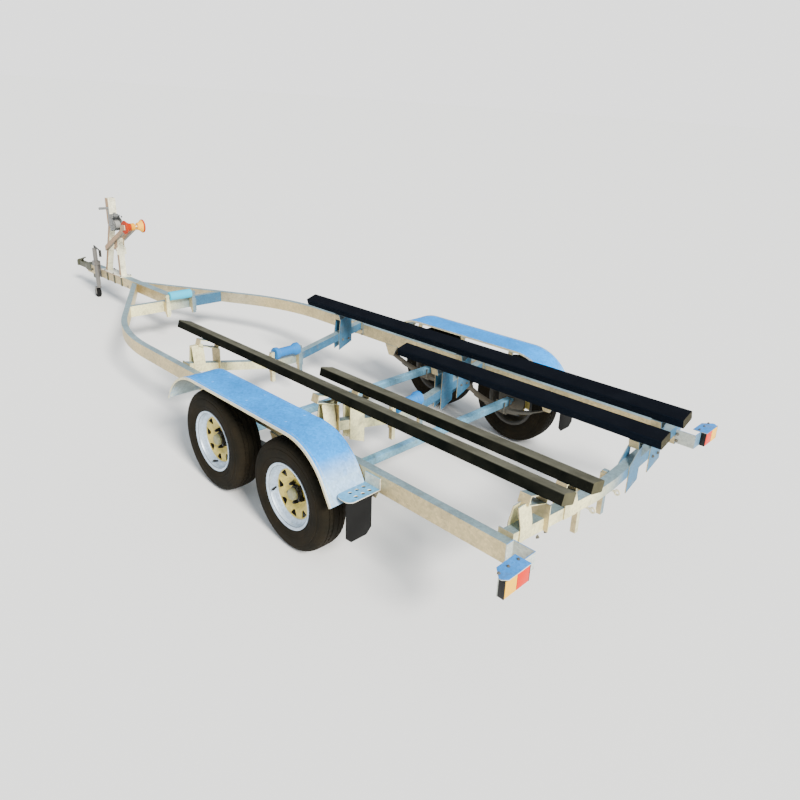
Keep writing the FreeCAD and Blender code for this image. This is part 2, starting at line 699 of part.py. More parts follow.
def keel_outline(radius, plain):
    """Half section of a keel roller about its pin; (radius, along)."""
    bore = D.keel_pin + D.pin_clearance
    half = D.keel_length / 2
    edge = D.roller_edge
    if plain:
        return [(bore, -half), (radius - edge, -half), (radius, -half + edge),
                (radius, half - edge), (radius - edge, half), (bore, half)]
    return [(bore, -half), (radius - edge, -half), (radius, -half + edge),
            (radius, -half + D.keel_end), (D.keel_waist, -half + 2 * D.keel_end),
            (D.keel_waist, half - 2 * D.keel_end), (radius, half - D.keel_end),
            (radius, half - edge), (radius - edge, half), (bore, half)]


stem_half = D.stem_side / 2
sleeve_half = D.sleeve_side / 2
keel_solids = []
for place, face, way, gap, low, high, radius, hang in KEELS:
    axis_x = face + way * (gap + sleeve_half)
    axis_z = high + radius + D.roller_gap
    stem_top = axis_z + D.pin_inset
    pin_half = D.stem_offset + stem_half + D.keel_pin
    pieces = [rod("keel_pin_" + place, "Sizes.keel_pin", 2 * pin_half,
                  (axis_x, -pin_half, axis_z), (0, 1, 0))]
    for side_name, side in SIDES:
        name = "keel_stem_%s_%s" % (place, side_name)
        middle = side * D.stem_offset
        pieces.append(block(name, "Sizes.stem_side", "Sizes.stem_side",
                            stem_top - low + hang,
                            (axis_x - stem_half, middle - stem_half, low - hang)))
        pieces.append(block(name + "_sleeve", "Sizes.sleeve_side", "Sizes.sleeve_side",
                            high - low + D.sleeve_drop,
                            (axis_x - sleeve_half, middle - sleeve_half, low - D.sleeve_drop)))
        if gap > 0.0:
            pieces.append(block(name + "_bridge", gap + sleeve_half, "Sizes.stem_side",
                                high - low, (axis_x, middle - stem_half, low)))
    keel_solids.append(fuse("keel_support_" + place, pieces))
    roller = turned("keel_roller_" + place, keel_outline(radius, place == "front"))
    seat = Placement(Vector(axis_x, 0, axis_z), Rotation())
    node(roller, "keel_roller_" + place, PARKED.multiply(seat))
node(gather("keel_supports", keel_solids), "keel_supports", PARKED)

# ---------------------------------------------------------------- rear props
prop_x = MEMBERS["rear"][0] + member_half + sleeve_half
prop_low = member_bottom("rear", D.stem_offset)
prop_solids = []
for side_name, side in SIDES:
    middle = side * D.stem_offset
    prop_solids.append(fuse("rear_prop_" + side_name, [
        block("rear_prop_stem_" + side_name, "Sizes.stem_side", "Sizes.stem_side",
              "Sizes.member_height + Sizes.rear_stem_hang",
              (prop_x - stem_half, middle - stem_half, prop_low - D.rear_stem_hang)),
        block("rear_prop_sleeve_" + side_name, "Sizes.sleeve_side", "Sizes.sleeve_side",
              "Sizes.member_height + Sizes.sleeve_drop - Sizes.prop_inset",
              (prop_x - sleeve_half, middle - sleeve_half, prop_low - D.sleeve_drop)),
    ]))
node(gather("rear_props", prop_solids), "rear_props", PARKED)

# ---------------------------------------------------------------- bunks
BUNKS = (
    # name, offset, centre height, roll, front end
    ("outer", "outer_bunk_offset", "outer_bunk_centre", "bunk_roll", "outer_bunk_front"),
    ("inner", "inner_bunk_offset", "inner_bunk_centre", "inner_bunk_roll", "inner_bunk_front"),
)


def bunk(name, front_name):
    """A carpeted plank along the trailer, its section centred on the X axis."""
    body = new_body(name)
    sketch = sketch_on(body, "YZ", -D.bunk_rear)
    rectangle(sketch, "bunk_width", "bunk_thickness")
    pad(body, sketch, "Sizes.bunk_rear + Sizes.%s" % front_name)
    doc.recompute()
    edges = []
    for index, edge in enumerate(body.Shape.Edges, start=1):
        if abs(edge.tangentAt(edge.FirstParameter).x) > 0.99:
            edges.append("Edge%d" % index)
    plain = body.Tip
    rounding = body.newObject("PartDesign::Fillet", name + "_rounding")
    rounding.Base = (plain, edges)
    rounding.setExpression("Radius", "Sizes.bunk_rounding")
    return body


for kind, offset_name, centre_name, roll_name, front_name in BUNKS:
    for side_name, side in SIDES:
        name = "bunk_%s_%s" % (kind, side_name)
        plank = bunk(name, front_name)
        roll = Rotation(X_AXIS, side * VALUES[roll_name])
        seat = Placement(Vector(0, side * VALUES[offset_name], VALUES[centre_name]), roll)
        node(plank, name, PARKED.multiply(seat))

# ---------------------------------------------------------------- bunk brackets
BRACKETS = (
    # bunk kind, member, side, foot, foot moved outwards, hang below the member
    ("outer", "second", LEFT, "strap", 0.0, 0.0),
    ("outer", "second", RIGHT, "plate", D.second_foot_shift, D.outer_hang),
    ("outer", "mid", LEFT, "strap", -D.mid_strap_shift, 0.0),
    ("outer", "mid", RIGHT, "plate", 0.0, D.outer_hang),
    ("outer", "rear", LEFT, "strap", 0.0, 0.0),
    ("outer", "rear", RIGHT, "plate", -D.rear_foot_shift, D.outer_hang),
    ("inner", "mid", LEFT, "plate", D.mid_foot_shift, D.inner_hang),
    ("inner", "mid", RIGHT, "plate", D.mid_foot_shift, D.inner_hang),
    ("inner", "rear", LEFT, "plate", 0.0, 0.0),
    ("inner", "rear", RIGHT, "plate", -D.rear_foot_shift, D.inner_hang),
)
BRACKET_FORMS = {
    # bunk kind: offset, centre height, roll, saddle in and out, flat plate in and out
    "outer": (D.outer_bunk_offset, D.outer_bunk_centre, math.radians(D.bunk_roll),
              D.outer_saddle_in, D.outer_saddle_out, D.outer_plate_in, D.outer_plate_out),
    "inner": (D.inner_bunk_offset, D.inner_bunk_centre, math.radians(D.inner_bunk_roll),
              D.inner_saddle, D.inner_saddle, D.inner_plate, D.inner_plate),
}


def under_bunk(kind, across, down):
    """A point under a left bunk; across its width, and down from its underside."""
    offset, centre, roll = BRACKET_FORMS[kind][:3]
    depth = D.bunk_thickness / 2 + down
    return (offset + across * math.cos(roll) + depth * math.sin(roll),
            centre + across * math.sin(roll) - depth * math.cos(roll))


def saddle_low(kind, at):
    """Height of a saddle's underside at a distance from the middle plane."""
    start = under_bunk(kind, 0.0, D.saddle_height)
    return start[1] + (at - start[0]) * math.tan(BRACKET_FORMS[kind][2])


def saddle_outline(kind, inset):
    """The hollow saddle seen along the trailer, each face inset."""
    reach_in, reach_out = BRACKET_FORMS[kind][3:5]
    low = D.saddle_height - inset
    return [under_bunk(kind, -reach_in + inset, inset), under_bunk(kind, reach_out - inset, inset),
            under_bunk(kind, reach_out - inset, low), under_bunk(kind, -reach_in + inset, low)]


def plate_outline(kind, member, moved, hang):
    """A flat bracket plate on a face of its member, seen along the trailer."""
    offset = BRACKET_FORMS[kind][0] + moved
    side_in = offset - BRACKET_FORMS[kind][5]
    side_out = offset + BRACKET_FORMS[kind][6]
    seat_in = max(side_in, under_bunk(kind, -BRACKET_FORMS[kind][3], D.saddle_height)[0])
    notch = min(hang, D.plate_notch)
    return [
        (side_in, member_bottom(member, side_in) - hang),
        (side_out, member_bottom(member, side_out) - hang + notch),
        (side_out, saddle_low(kind, side_out) + D.bracket_sheet),
        (seat_in, saddle_low(kind, seat_in) + D.bracket_sheet),
        (side_in, member_top(member, side_in)),
    ]


def bracket_straps(name, kind, member, moved, rear):
    """Two bent straps from the member's faces in under the saddle, and the fork plate."""
    outer = BRACKET_FORMS[kind][0] + D.strap_reach + moved
    low = member_bottom(member, outer)
    knee = member_top(member, outer) + D.strap_knee
    high = saddle_low(kind, outer - D.strap_across / 2) + D.bracket_sheet
    pieces = []
    for face_name, face, way in (("rear", rear, 1), ("front", rear + D.member_depth, -1)):
        out = face - way * D.bracket_sheet
        lean = way * D.strap_lean / 2
        pieces.append(prism(name + "_strap_" + face_name, "XZ", [
            (out, low), (face, low), (face, knee), (face + lean, high), (out + lean, high),
            (out, knee),
        ], "Sizes.strap_across", offset=-outer))
    at = BRACKET_FORMS[kind][0] - D.fork_reach
    crotch = member_top(member, at)
    crown = saddle_low(kind, at) + D.bracket_sheet / 2
    front = rear + D.member_depth
    pieces.append(prism(name + "_fork", "XZ", [
        (rear - D.fork_margin, member_bottom(member, at)), (rear, member_bottom(member, at)),
        (rear, crotch), (front, crotch), (front, member_bottom(member, at)),
        (front + D.fork_margin, member_bottom(member, at)), (front + D.fork_margin, crown),
        (rear - D.fork_margin, crown),
    ], "Sizes.bracket_sheet", offset=-at))
    return pieces


brackets = []
for kind, member, side, foot, moved, hang in BRACKETS:
    name = "bunk_bracket_%s_%s_%s" % (kind, member, "left" if side == LEFT else "right")
    rear = MEMBERS[member][0] - member_half
    outside = prism(name + "_saddle", "YZ", saddle_outline(kind, 0.0), "Sizes.member_depth",
                    offset=rear)
    inside = prism(name + "_hollow", "YZ", saddle_outline(kind, D.bracket_sheet),
                   "Sizes.member_depth", offset=rear)
    pieces = [cut(name + "_tube", outside, inside)]
    if foot == "strap":
        pieces += bracket_straps(name, kind, member, moved, rear)
    else:
        outline = plate_outline(kind, member, moved, hang)
        pieces += [
            prism(name + "_rear", "YZ", outline, "Sizes.bracket_sheet",
                  offset=rear - D.bracket_sheet),
            prism(name + "_front", "YZ", outline, "Sizes.bracket_sheet",
                  offset=rear + D.member_depth),
        ]
    piece = fuse(name, pieces)
    brackets.append(piece if side == LEFT else mirrored(name + "_turned", piece))
node(gather("bunk_brackets", brackets), "bunk_brackets", PARKED)

# ---------------------------------------------------------------- road wheels
half_tyre = D.tyre_width / 2
half_tread = D.tread_width / 2


def tyre_outline():
    """Section of the tyre about its axle; (radius, along)."""
    top = D.tyre_radius
    bead = D.bead_radius
    lip = D.rim_half_width - D.rim_wall
    edge = top - D.tread_crown
    root = bead + D.tyre_wall + D.rim_wall
    wide = (bead + top) / 2
    inner = D.tyre_wall
    under = top - inner - D.tread_crown
    return [
        (bead, -lip),
        (root, -lip - D.rim_wall),
        ("arc", (wide, -half_tyre), (edge - inner, -half_tread - inner)),
        (edge, -half_tread),
        (top, -half_tread / 2),
        (top, half_tread / 2),
        (edge, half_tread),
        (edge - inner, half_tread + inner),
        ("arc", (wide, half_tyre), (root, lip + D.rim_wall)),
        (bead, lip),
        (bead, lip - inner),
        (root, lip - inner),
        ("arc", (wide, half_tyre - inner), (edge - 2 * inner, half_tread)),
        (under, half_tread / 2),
        (under, -half_tread / 2),
        (edge - 2 * inner, -half_tread),
        ("arc", (wide, -half_tyre + inner), (root, -lip + inner)),
        (bead, -lip + inner),
    ]


disc_front = D.rim_half_width - D.disc_face
disc_back = disc_front - D.rim_wall
flange_face = disc_back - D.disc_dish


def rim_outline():
    """Section of the rim barrel and disc; the outer face is towards +Y."""
    sheet_t = D.rim_wall
    half = D.rim_half_width
    lip = D.lip_radius
    bead = D.bead_radius
    well = D.rim_well_radius
    seat_end = half - D.rim_seat
    rear_end = -half + D.rim_rear_seat
    return [
        (lip, half),
        (lip, half - sheet_t),
        (bead, half - sheet_t),
        (bead, seat_end),
        (well, seat_end - D.rim_slope),
        (well, rear_end + D.rim_rear_slope),
        (bead, rear_end),
        (bead, -half + sheet_t),
        (lip, -half + sheet_t),
        (lip, -half),
        (bead - sheet_t, -half),
        (bead - sheet_t, rear_end - D.rim_inset),
        (well - sheet_t, rear_end + D.rim_rear_slope - D.rim_inset),
        (well - sheet_t, seat_end - D.rim_slope + D.rim_inset),
        (bead - sheet_t, seat_end + D.rim_inset),
        (bead - sheet_t, disc_back),
        (D.disc_bend_radius, disc_back),
        (D.hub_flange_radius, flange_face),
        (D.hub_nose_radius, flange_face),
        (D.hub_nose_radius, flange_face + sheet_t),
        (D.hub_flange_radius - sheet_t, flange_face + sheet_t),
        (D.disc_bend_radius - sheet_t, disc_front),
        (bead - sheet_t, disc_front),
        (bead - sheet_t, half),
    ]


def window_outline(angle):
    """One window of the wheel disc, turned about the axle."""
    half_low = D.window_width / 4
    half_high = D.window_width / 2
    shoulder = D.window_high - D.window_width / 5
    cos_a = math.cos(angle)
    sin_a = math.sin(angle)

    def at(across, out):
        return (across * cos_a + out * sin_a, out * cos_a - across * sin_a)

    return [at(-half_low, D.window_low), at(half_low, D.window_low), at(half_high, shoulder),
            ("arc", at(0.0, D.window_high), at(-half_high, shoulder))]


def rim(name):
    body = turned(name, rim_outline())
    windows = sketch_on(body, "XZ")
    for index in range(int(D.window_count)):
        draw(windows, window_outline(2 * math.pi * index / int(D.window_count)))
    pocket(body, windows, "2 * Sizes.rim_half_width", middle=True)
    return body


hub_bore = D.stub_radius + D.pin_clearance
disc_plane = -D.disc_setback
hub_end = D.rim_half_width + D.hub_nose


def hub_outline():
    """Hub with its wheel flange, brake disc and nose."""
    return [
        (hub_bore, disc_plane - D.disc_thickness),
        (D.disc_radius, disc_plane - D.disc_thickness),
        (D.disc_radius, disc_plane),
        (D.hub_radius, disc_plane),
        (D.hub_radius, flange_face - D.disc_thickness),
        (D.hub_flange_radius - D.rim_wall, flange_face - D.disc_thickness),
        (D.hub_flange_radius - D.rim_wall, flange_face),
        (D.hub_nose_radius, flange_face),
        (D.hub_nose_radius, hub_end - D.nose_cap),
        (D.hub_nose_radius - D.nose_cap, hub_end),
        (0.0, hub_end),
        (0.0, hub_end - D.nose_cap),
        (hub_bore, hub_end - D.nose_cap),
    ]


half_wheelbase = D.axle_spacing / 2
WHEELS = (
    ("front_left", half_wheelbase, LEFT),
    ("front_right", half_wheelbase, RIGHT),
    ("rear_left", -half_wheelbase, LEFT),
    ("rear_right", -half_wheelbase, RIGHT),
)
for place, station, side in WHEELS:
    turn = Rotation() if side == LEFT else Rotation(Z_AXIS, 180.0)
    seat = Placement(Vector(station, side * D.wheel_track, D.tyre_radius), turn)
    node(turned("tyre_" + place, tyre_outline()), "tyre_" + place, seat)
    node(rim("rim_" + place), "rim_" + place, seat)
    node(turned("hub_" + place, hub_outline()), "hub_" + place, seat)

# ---------------------------------------------------------------- axles and calipers
disc_middle = D.wheel_track + disc_plane - D.disc_thickness / 2
caliper_half = D.disc_thickness / 2 + D.caliper_grip
caliper_reach = D.disc_radius + D.caliper_grip
beam_end = disc_middle - caliper_half - D.caliper_arm
beam_half = D.axle_beam / 2
stub_end = D.wheel_track + hub_end - 2 * D.nose_cap
for place, station in (("front", half_wheelbase), ("rear", -half_wheelbase)):
    beam = block("axle_beam_" + place, "Sizes.axle_beam", 2 * beam_end, "Sizes.axle_beam",
                 (station - beam_half, -beam_end, D.tyre_radius - beam_half))
    stub = rod("axle_stub_" + place, "Sizes.stub_radius", 2 * stub_end,
               (station, -stub_end, D.tyre_radius), (0, 1, 0))
    node(fuse("axle_" + place, [beam, stub]), "axle_" + place)

calipers = []
for place, station, side in WHEELS:
    middle = side * disc_middle
    half_length = D.caliper_length / 2
    slot_half = D.disc_thickness / 2 + D.disc_gap
    top = D.tyre_radius + caliper_reach
    outer = block("caliper_" + place, "Sizes.caliper_length", 2 * caliper_half,
                  "Sizes.caliper_height",
                  (station - half_length, middle - caliper_half, top - D.caliper_height))
    slot = block("caliper_slot_" + place, 2 * D.caliper_length, 2 * slot_half,
                 D.caliper_height + D.disc_gap,
                 (station - D.caliper_length, middle - slot_half,
                  top - D.caliper_grip + D.disc_gap - D.caliper_height - D.disc_gap))
    arm_y = middle - side * caliper_half - (D.caliper_arm if side == LEFT else 0.0)
    arm = block("caliper_arm_" + place, "Sizes.axle_beam", "Sizes.caliper_arm",
                caliper_reach - beam_half, (station - beam_half, arm_y, D.tyre_radius + beam_half))
    calipers.append(fuse("caliper_set_" + place, [cut("caliper_body_" + place, outer, slot), arm]))
node(gather("brake_calipers", calipers), "brake_calipers")

# ---------------------------------------------------------------- springs and hangers


def parked_point(x, z):
    """Where a point of the chassis' side view stands once it leans."""
    place = PARKED.multVec(Vector(x, 0, z))
    return (place.x, place.z)


eye_station = half_wheelbase + D.eye_reach
eye_level = D.rail_bottom - D.eye_drop
pivot_level = D.rail_bottom - D.pivot_drop
rocker_level = pivot_level - D.rocker_drop
seat_height = D.tyre_radius - beam_half - D.seat_plate


def leaf(name, bend, depth, start, end):
    """A leaf between two stations, so far below the main leaf's upper face."""
    upper = bend.Radius + depth
    lower = upper + D.spring_leaf

    def at(radius, station):
        return (station, bend.Center.y - math.sqrt(radius ** 2 - (station - bend.Center.x) ** 2))

    middle = (start + end) / 2
    return prism(name, "XZ", [
        at(upper, start), ("arc", at(upper, middle), at(upper, end)),
        at(lower, end), ("arc", at(lower, middle), at(lower, start)),
    ], "Sizes.spring_width", offset=-rail_middle - D.spring_width / 2)


SPRINGS = (
    # name, first eye, axle station, last eye
    ("front", parked_point(D.rocker_reach, rocker_level), half_wheelbase,
     parked_point(eye_station, eye_level)),
    ("rear", parked_point(-eye_station, eye_level), -half_wheelbase,
     parked_point(-D.rocker_reach, rocker_level)),
)
spring_solids = []
spring_in = rail_middle - D.spring_width / 2
for place, first, station, last in SPRINGS:
    through = Vector(station, seat_height, 0)
    bend = Part.Arc(Vector(*first, 0), through, Vector(*last, 0)).toShape().Curve
    pieces = [
        leaf("spring_main_" + place, bend, 0.0, first[0], last[0]),
        leaf("spring_second_" + place, bend, D.spring_leaf, station - D.second_leaf_half,
             station + D.second_leaf_half),
        leaf("spring_third_" + place, bend, 2 * D.spring_leaf, station - D.third_leaf_half,
             station + D.third_leaf_half),
        block("spring_seat_" + place, "Sizes.seat_length", "Sizes.spring_width",
              2 * D.seat_plate, (station - D.seat_length / 2, spring_in,
                                 seat_height - D.seat_plate)),
        block("spring_clamp_" + place, "Sizes.seat_length", "Sizes.spring_width",
              2 * D.seat_plate, (station - D.seat_length / 2, spring_in,
                                 seat_height - 3 * D.spring_leaf - D.seat_plate)),
    ]
    for number, eye in enumerate((first, last)):
        pieces.append(rod("spring_eye_%s_%d" % (place, number), "Sizes.eye_radius",
                          "Sizes.spring_width", (eye[0], spring_in, eye[1]), (0, 1, 0)))
    solid = fuse("spring_form_" + place, pieces)
    bores = []
    for number, eye in enumerate((first, last)):
        bores.append(rod("spring_bore_%s_%d" % (place, number), D.spring_pin + D.pin_clearance,
                         2 * D.spring_width, (eye[0], spring_in - D.spring_width / 2, eye[1]),
                         (0, 1, 0)))
    bundle = cut("spring_" + place, solid, gather("spring_bores_" + place, bores))
    spring_solids.append(bundle)
    spring_solids.append(mirrored("spring_%s_right" % place, bundle))
node(gather("leaf_springs", spring_solids), "leaf_springs")

HANGERS = (
    # name, station, pin height, half width between the side plates
    ("front", eye_station, eye_level, D.spring_width / 2 + D.clearance),
    ("middle", 0.0, pivot_level, D.spring_width / 2 + 2 * D.clearance + D.hanger_sheet),
    ("rear", -eye_station, eye_level, D.spring_width / 2 + D.clearance),
)
hanger_solids = []
for place, station, pin_level, inside in HANGERS:
    foot = pin_level - D.eye_radius
    outside = inside + D.hanger_sheet
    outline = [
        (station - D.hanger_top_half, D.rail_bottom),
        (station - D.hanger_foot_half, foot),
        (station + D.hanger_foot_half, foot),
        (station + D.hanger_top_half, D.rail_bottom),
    ]
    pieces = [
        prism("hanger_%s_out" % place, "XZ", outline, "Sizes.hanger_sheet",
              offset=-rail_middle - outside),
        prism("hanger_%s_in" % place, "XZ", outline, "Sizes.hanger_sheet",
              offset=-rail_middle + inside),
        block("hanger_%s_top" % place, "2 * Sizes.hanger_top_half", 2 * outside,
              "Sizes.hanger_sheet",
              (station - D.hanger_top_half, rail_middle - outside,
               D.rail_bottom - D.hanger_sheet)),
        rod("hanger_pin_" + place, "Sizes.spring_pin", 2 * outside,
            (station, rail_middle - outside, pin_level), (0, 1, 0)),
    ]
    piece = fuse("hanger_" + place, pieces)
    hanger_solids.append(piece)
    hanger_solids.append(mirrored("hanger_%s_right" % place, piece))
node(gather("spring_hangers", hanger_solids), "spring_hangers", PARKED)

rocker_in = D.spring_width / 2 + D.clearance
rocker_out = rocker_in + D.hanger_sheet
rocker_outline = [
    (-D.rocker_reach - D.eye_radius, rocker_level - D.eye_radius),
    (D.rocker_reach + D.eye_radius, rocker_level - D.eye_radius),
    (D.rocker_reach + D.eye_radius, rocker_level),
    (D.eye_radius, pivot_level + D.eye_radius),
    (-D.eye_radius, pivot_level + D.eye_radius),
    (-D.rocker_reach - D.eye_radius, rocker_level),
]
rocker_form = fuse("rocker_form", [
    prism("rocker_out", "XZ", rocker_outline, "Sizes.hanger_sheet",
          offset=-rail_middle - rocker_out),
    prism("rocker_in", "XZ", rocker_outline, "Sizes.hanger_sheet",
          offset=-rail_middle + rocker_in),
    rod("rocker_boss", "Sizes.eye_radius", 2 * rocker_out,
        (0, rail_middle - rocker_out, pivot_level), (0, 1, 0)),
    rod("rocker_pin_front", "Sizes.spring_pin", 2 * rocker_out,
        (D.rocker_reach, rail_middle - rocker_out, rocker_level), (0, 1, 0)),
    rod("rocker_pin_rear", "Sizes.spring_pin", 2 * rocker_out,
        (-D.rocker_reach, rail_middle - rocker_out, rocker_level), (0, 1, 0)),
])
rocker = cut("rocker", rocker_form,
             rod("rocker_bore", D.spring_pin + D.pin_clearance, 4 * rocker_out,
                 (0, rail_middle - 2 * rocker_out, pivot_level), (0, 1, 0)))
node(gather("spring_rockers", [rocker, mirrored("rocker_right", rocker)]), "spring_rockers",
     PARKED)

# ---------------------------------------------------------------- mudguards
SIN_ROLL = math.sin(math.radians(D.guard_sweep))
COS_ROLL = math.cos(math.radians(D.guard_sweep))


guard_inside = D.rail_outside + D.guard_gap


def guard_edge(inset):
    """Side view points of the guard's sheet, inset from its outer surface, rear to front."""
    radius = D.guard_radius - inset
    top = D.guard_top - inset
    centre_z = D.guard_top - D.guard_radius
    half = math.radians(D.guard_sweep) / 2
    rear = D.guard_middle - D.guard_flat
    front = D.guard_middle + D.guard_flat
    end_x = radius * SIN_ROLL
    end_z = centre_z + radius * COS_ROLL
    return {
        "rear_tip": (rear - end_x - D.guard_skirt * COS_ROLL, end_z - D.guard_skirt * SIN_ROLL),
        "rear_end": (rear - end_x, end_z),
        "rear_mid": (rear - radius * math.sin(half), centre_z + radius * math.cos(half)),
        "rear_top": (rear, top),
        "front_top": (front, top),
        "front_mid": (front + radius * math.sin(half), centre_z + radius * math.cos(half)),
        "front_end": (front + end_x, end_z),
        "front_tip": (front + end_x + D.guard_front_skirt * COS_ROLL,
                      end_z - D.guard_front_skirt * SIN_ROLL),
    }


def guard_outline(outer, inner):
    a = guard_edge(outer)
    b = guard_edge(inner)
    return [
        a["rear_tip"], a["rear_end"], ("arc", a["rear_mid"], a["rear_top"]), a["front_top"],
        ("arc", a["front_mid"], a["front_end"]), a["front_tip"],
        b["front_tip"], b["front_end"], ("arc", b["front_mid"], b["front_top"]), b["rear_top"],
        ("arc", b["rear_mid"], b["rear_end"]), b["rear_tip"],
    ]


def mudguard(name):
    body = new_body(name)
    sketch = sketch_on(body, "XZ", -D.guard_outside)
    draw(sketch, guard_outline(0.0, D.guard_sheet))
    pad(body, sketch, D.guard_outside - guard_inside)
    lip = sketch_on(body, "XZ", -D.guard_outside)
    draw(lip, guard_outline(0.0, D.guard_lip))
    pad(body, lip, "Sizes.guard_sheet")
    inner_lip = sketch_on(body, "XZ", -guard_inside - D.guard_sheet)
    draw(inner_lip, guard_outline(0.0, D.guard_lip))
    pad(body, inner_lip, "Sizes.guard_sheet")
    return body


node(mudguard("mudguard_left"), "mudguard_left", PARKED)
node(mirrored("mudguard_right", mudguard("mudguard_right_form")), "mudguard_right", PARKED)

under_lip = D.guard_top - D.guard_lip - D.clearance
under_sheet = D.guard_top - D.guard_sheet
stay_turn = guard_inside + D.guard_sheet + D.stay_sheet
stay_outline = [
    (D.rail_outside, D.rail_bottom + D.guard_lip),
    (D.rail_outside + D.stay_sheet, D.rail_bottom + D.guard_lip),
    (D.rail_outside + D.stay_sheet, under_lip - D.stay_sheet),
    (stay_turn + D.stay_sheet, under_lip - D.stay_sheet),
    (stay_turn + D.stay_sheet, under_sheet - D.stay_sheet),
    (D.guard_outside - D.stay_end, under_sheet - D.stay_sheet),
    (D.guard_outside - D.stay_end, under_sheet),
    (stay_turn, under_sheet),
    (stay_turn, under_lip),
    (D.rail_outside, under_lip),
]
stay_reach = D.guard_flat - D.stay_width
stay_solids = []
for place, station in (("rear", D.guard_middle - stay_reach), ("middle", D.guard_middle),
                       ("front", D.guard_middle + stay_reach)):
    stay = prism("guard_stay_" + place, "YZ", stay_outline, "Sizes.stay_width",
                 offset=station - D.stay_width / 2)
    stay_solids.append(stay)
    stay_solids.append(mirrored("guard_stay_%s_right" % place, stay))
node(gather("guard_stays", stay_solids), "guard_stays", PARKED)

# ---------------------------------------------------------------- steps and flaps
tip = guard_edge(0.0)["rear_tip"]
skirt_back = (D.step_top - tip[1]) * COS_ROLL / SIN_ROLL
step_front = tip[0] + skirt_back - D.step_gap
step_rear = step_front - D.step_length
corner = D.step_corner
bulge = corner * (1 - math.sqrt(0.5))
step_outline = [
    (step_front, D.rail_outside),
    (step_front, D.step_outside - corner),
    ("arc", (step_front - bulge, D.step_outside - bulge),
     (step_front - corner, D.step_outside)),
    (step_rear + corner, D.step_outside),
    ("arc", (step_rear + bulge, D.step_outside - bulge),
     (step_rear, D.step_outside - corner)),
    (step_rear, D.rail_outside),
]
step = prism("step_plate", "XY", step_outline, "Sizes.step_sheet",
             offset=D.step_top - D.step_sheet)
step_back = block("step_back", "Sizes.step_length", "Sizes.step_sheet", "Sizes.step_flange",
                  (step_rear, D.rail_outside, D.step_top))
step_holes = []
step_middle = (step_front + step_rear) / 2
for row in (-1, 1):
    for column in range(1, 4):
        step_holes.append(rod("step_hole_%d_%d" % (row + 1, column), "Sizes.step_hole",
                              4 * D.step_sheet,
                              (step_middle + row * D.step_hole_pitch / 2,
                               D.rail_outside + column * D.step_hole_pitch,
                               D.step_top - 2 * D.step_sheet), (0, 0, 1)))
step_piece = fuse("step_piece", [cut("step_tread", step, gather("step_holes", step_holes)),
                                 step_back])
node(gather("step_plates", [step_piece, mirrored("step_piece_right", step_piece)]),
     "step_plates", PARKED)

flap_x = step_front - D.flap_setback
flap_top = D.step_top - D.step_sheet
flap_low = D.flap_bottom
flap_in = D.flap_outside - D.flap_width
flap_form = prism("flap_form", "YZ", [
    (flap_in, flap_top),
    (flap_in, flap_low + D.flap_corner),
    (flap_in + D.flap_corner, flap_low),
    (D.flap_outside - D.flap_corner, flap_low),
    (D.flap_outside, flap_low + D.flap_corner),
    (D.flap_outside, flap_top),
], "Sizes.flap_sheet", offset=flap_x)
node(gather("mud_flaps", [flap_form, mirrored("flap_form_right", flap_form)]), "mud_flaps", PARKED)

# ---------------------------------------------------------------- tail lamps
lamp_top = D.lamp_bottom + D.lamp_height
lamp_in = D.lamp_outside - D.lamp_width
plate_rear = -D.rail_tail - D.lamp_setback - D.lamp_plate
shelf_high = lamp_top + D.clearance + D.lamp_plate
flange_in = rail_inside - D.lamp_plate
lamp_plate = block("lamp_plate", "Sizes.lamp_plate", D.lamp_outside - flange_in,
                   shelf_high - D.lamp_bottom, (plate_rear, flange_in, D.lamp_bottom))
lamp_flange = block("lamp_flange", D.lamp_setback + D.lamp_plate, "Sizes.lamp_plate",
                    shelf_high - D.lamp_bottom, (plate_rear, flange_in, D.lamp_bottom))
lamp_cap = block("lamp_cap", "Sizes.lamp_plate", D.rail_width + D.lamp_plate,
                 shelf_high - D.lamp_bottom,
                 (-D.rail_tail - D.lamp_plate, flange_in, D.lamp_bottom))
shelf = prism("lamp_shelf", "XY", [
    (plate_rear + D.lamp_shelf_front, lamp_in),
    (plate_rear - D.lamp_shelf, lamp_in),
    (plate_rear - D.lamp_shelf, D.lamp_outside - D.lamp_mitre),
    (plate_rear - D.lamp_shelf + D.lamp_mitre, D.lamp_outside),
    (plate_rear, D.lamp_outside),
    (plate_rear + D.lamp_shelf_front, D.lamp_outside - D.lamp_shelf_front),
], "Sizes.lamp_plate", offset=shelf_high - D.lamp_plate)
bracket = fuse("lamp_bracket", [lamp_plate, lamp_flange, lamp_cap, shelf])
node(gather("lamp_brackets", [bracket, mirrored("lamp_bracket_right", bracket)]),
     "lamp_brackets", PARKED)
for side_name, side in SIDES:
    low = lamp_in if side == LEFT else -D.lamp_outside
    lamp = block("lamp_" + side_name, "Sizes.lamp_depth", "Sizes.lamp_width", "Sizes.lamp_height",
                 (plate_rear - D.lamp_depth, low, D.lamp_bottom))
    node(lamp, "lamp_" + side_name, PARKED)

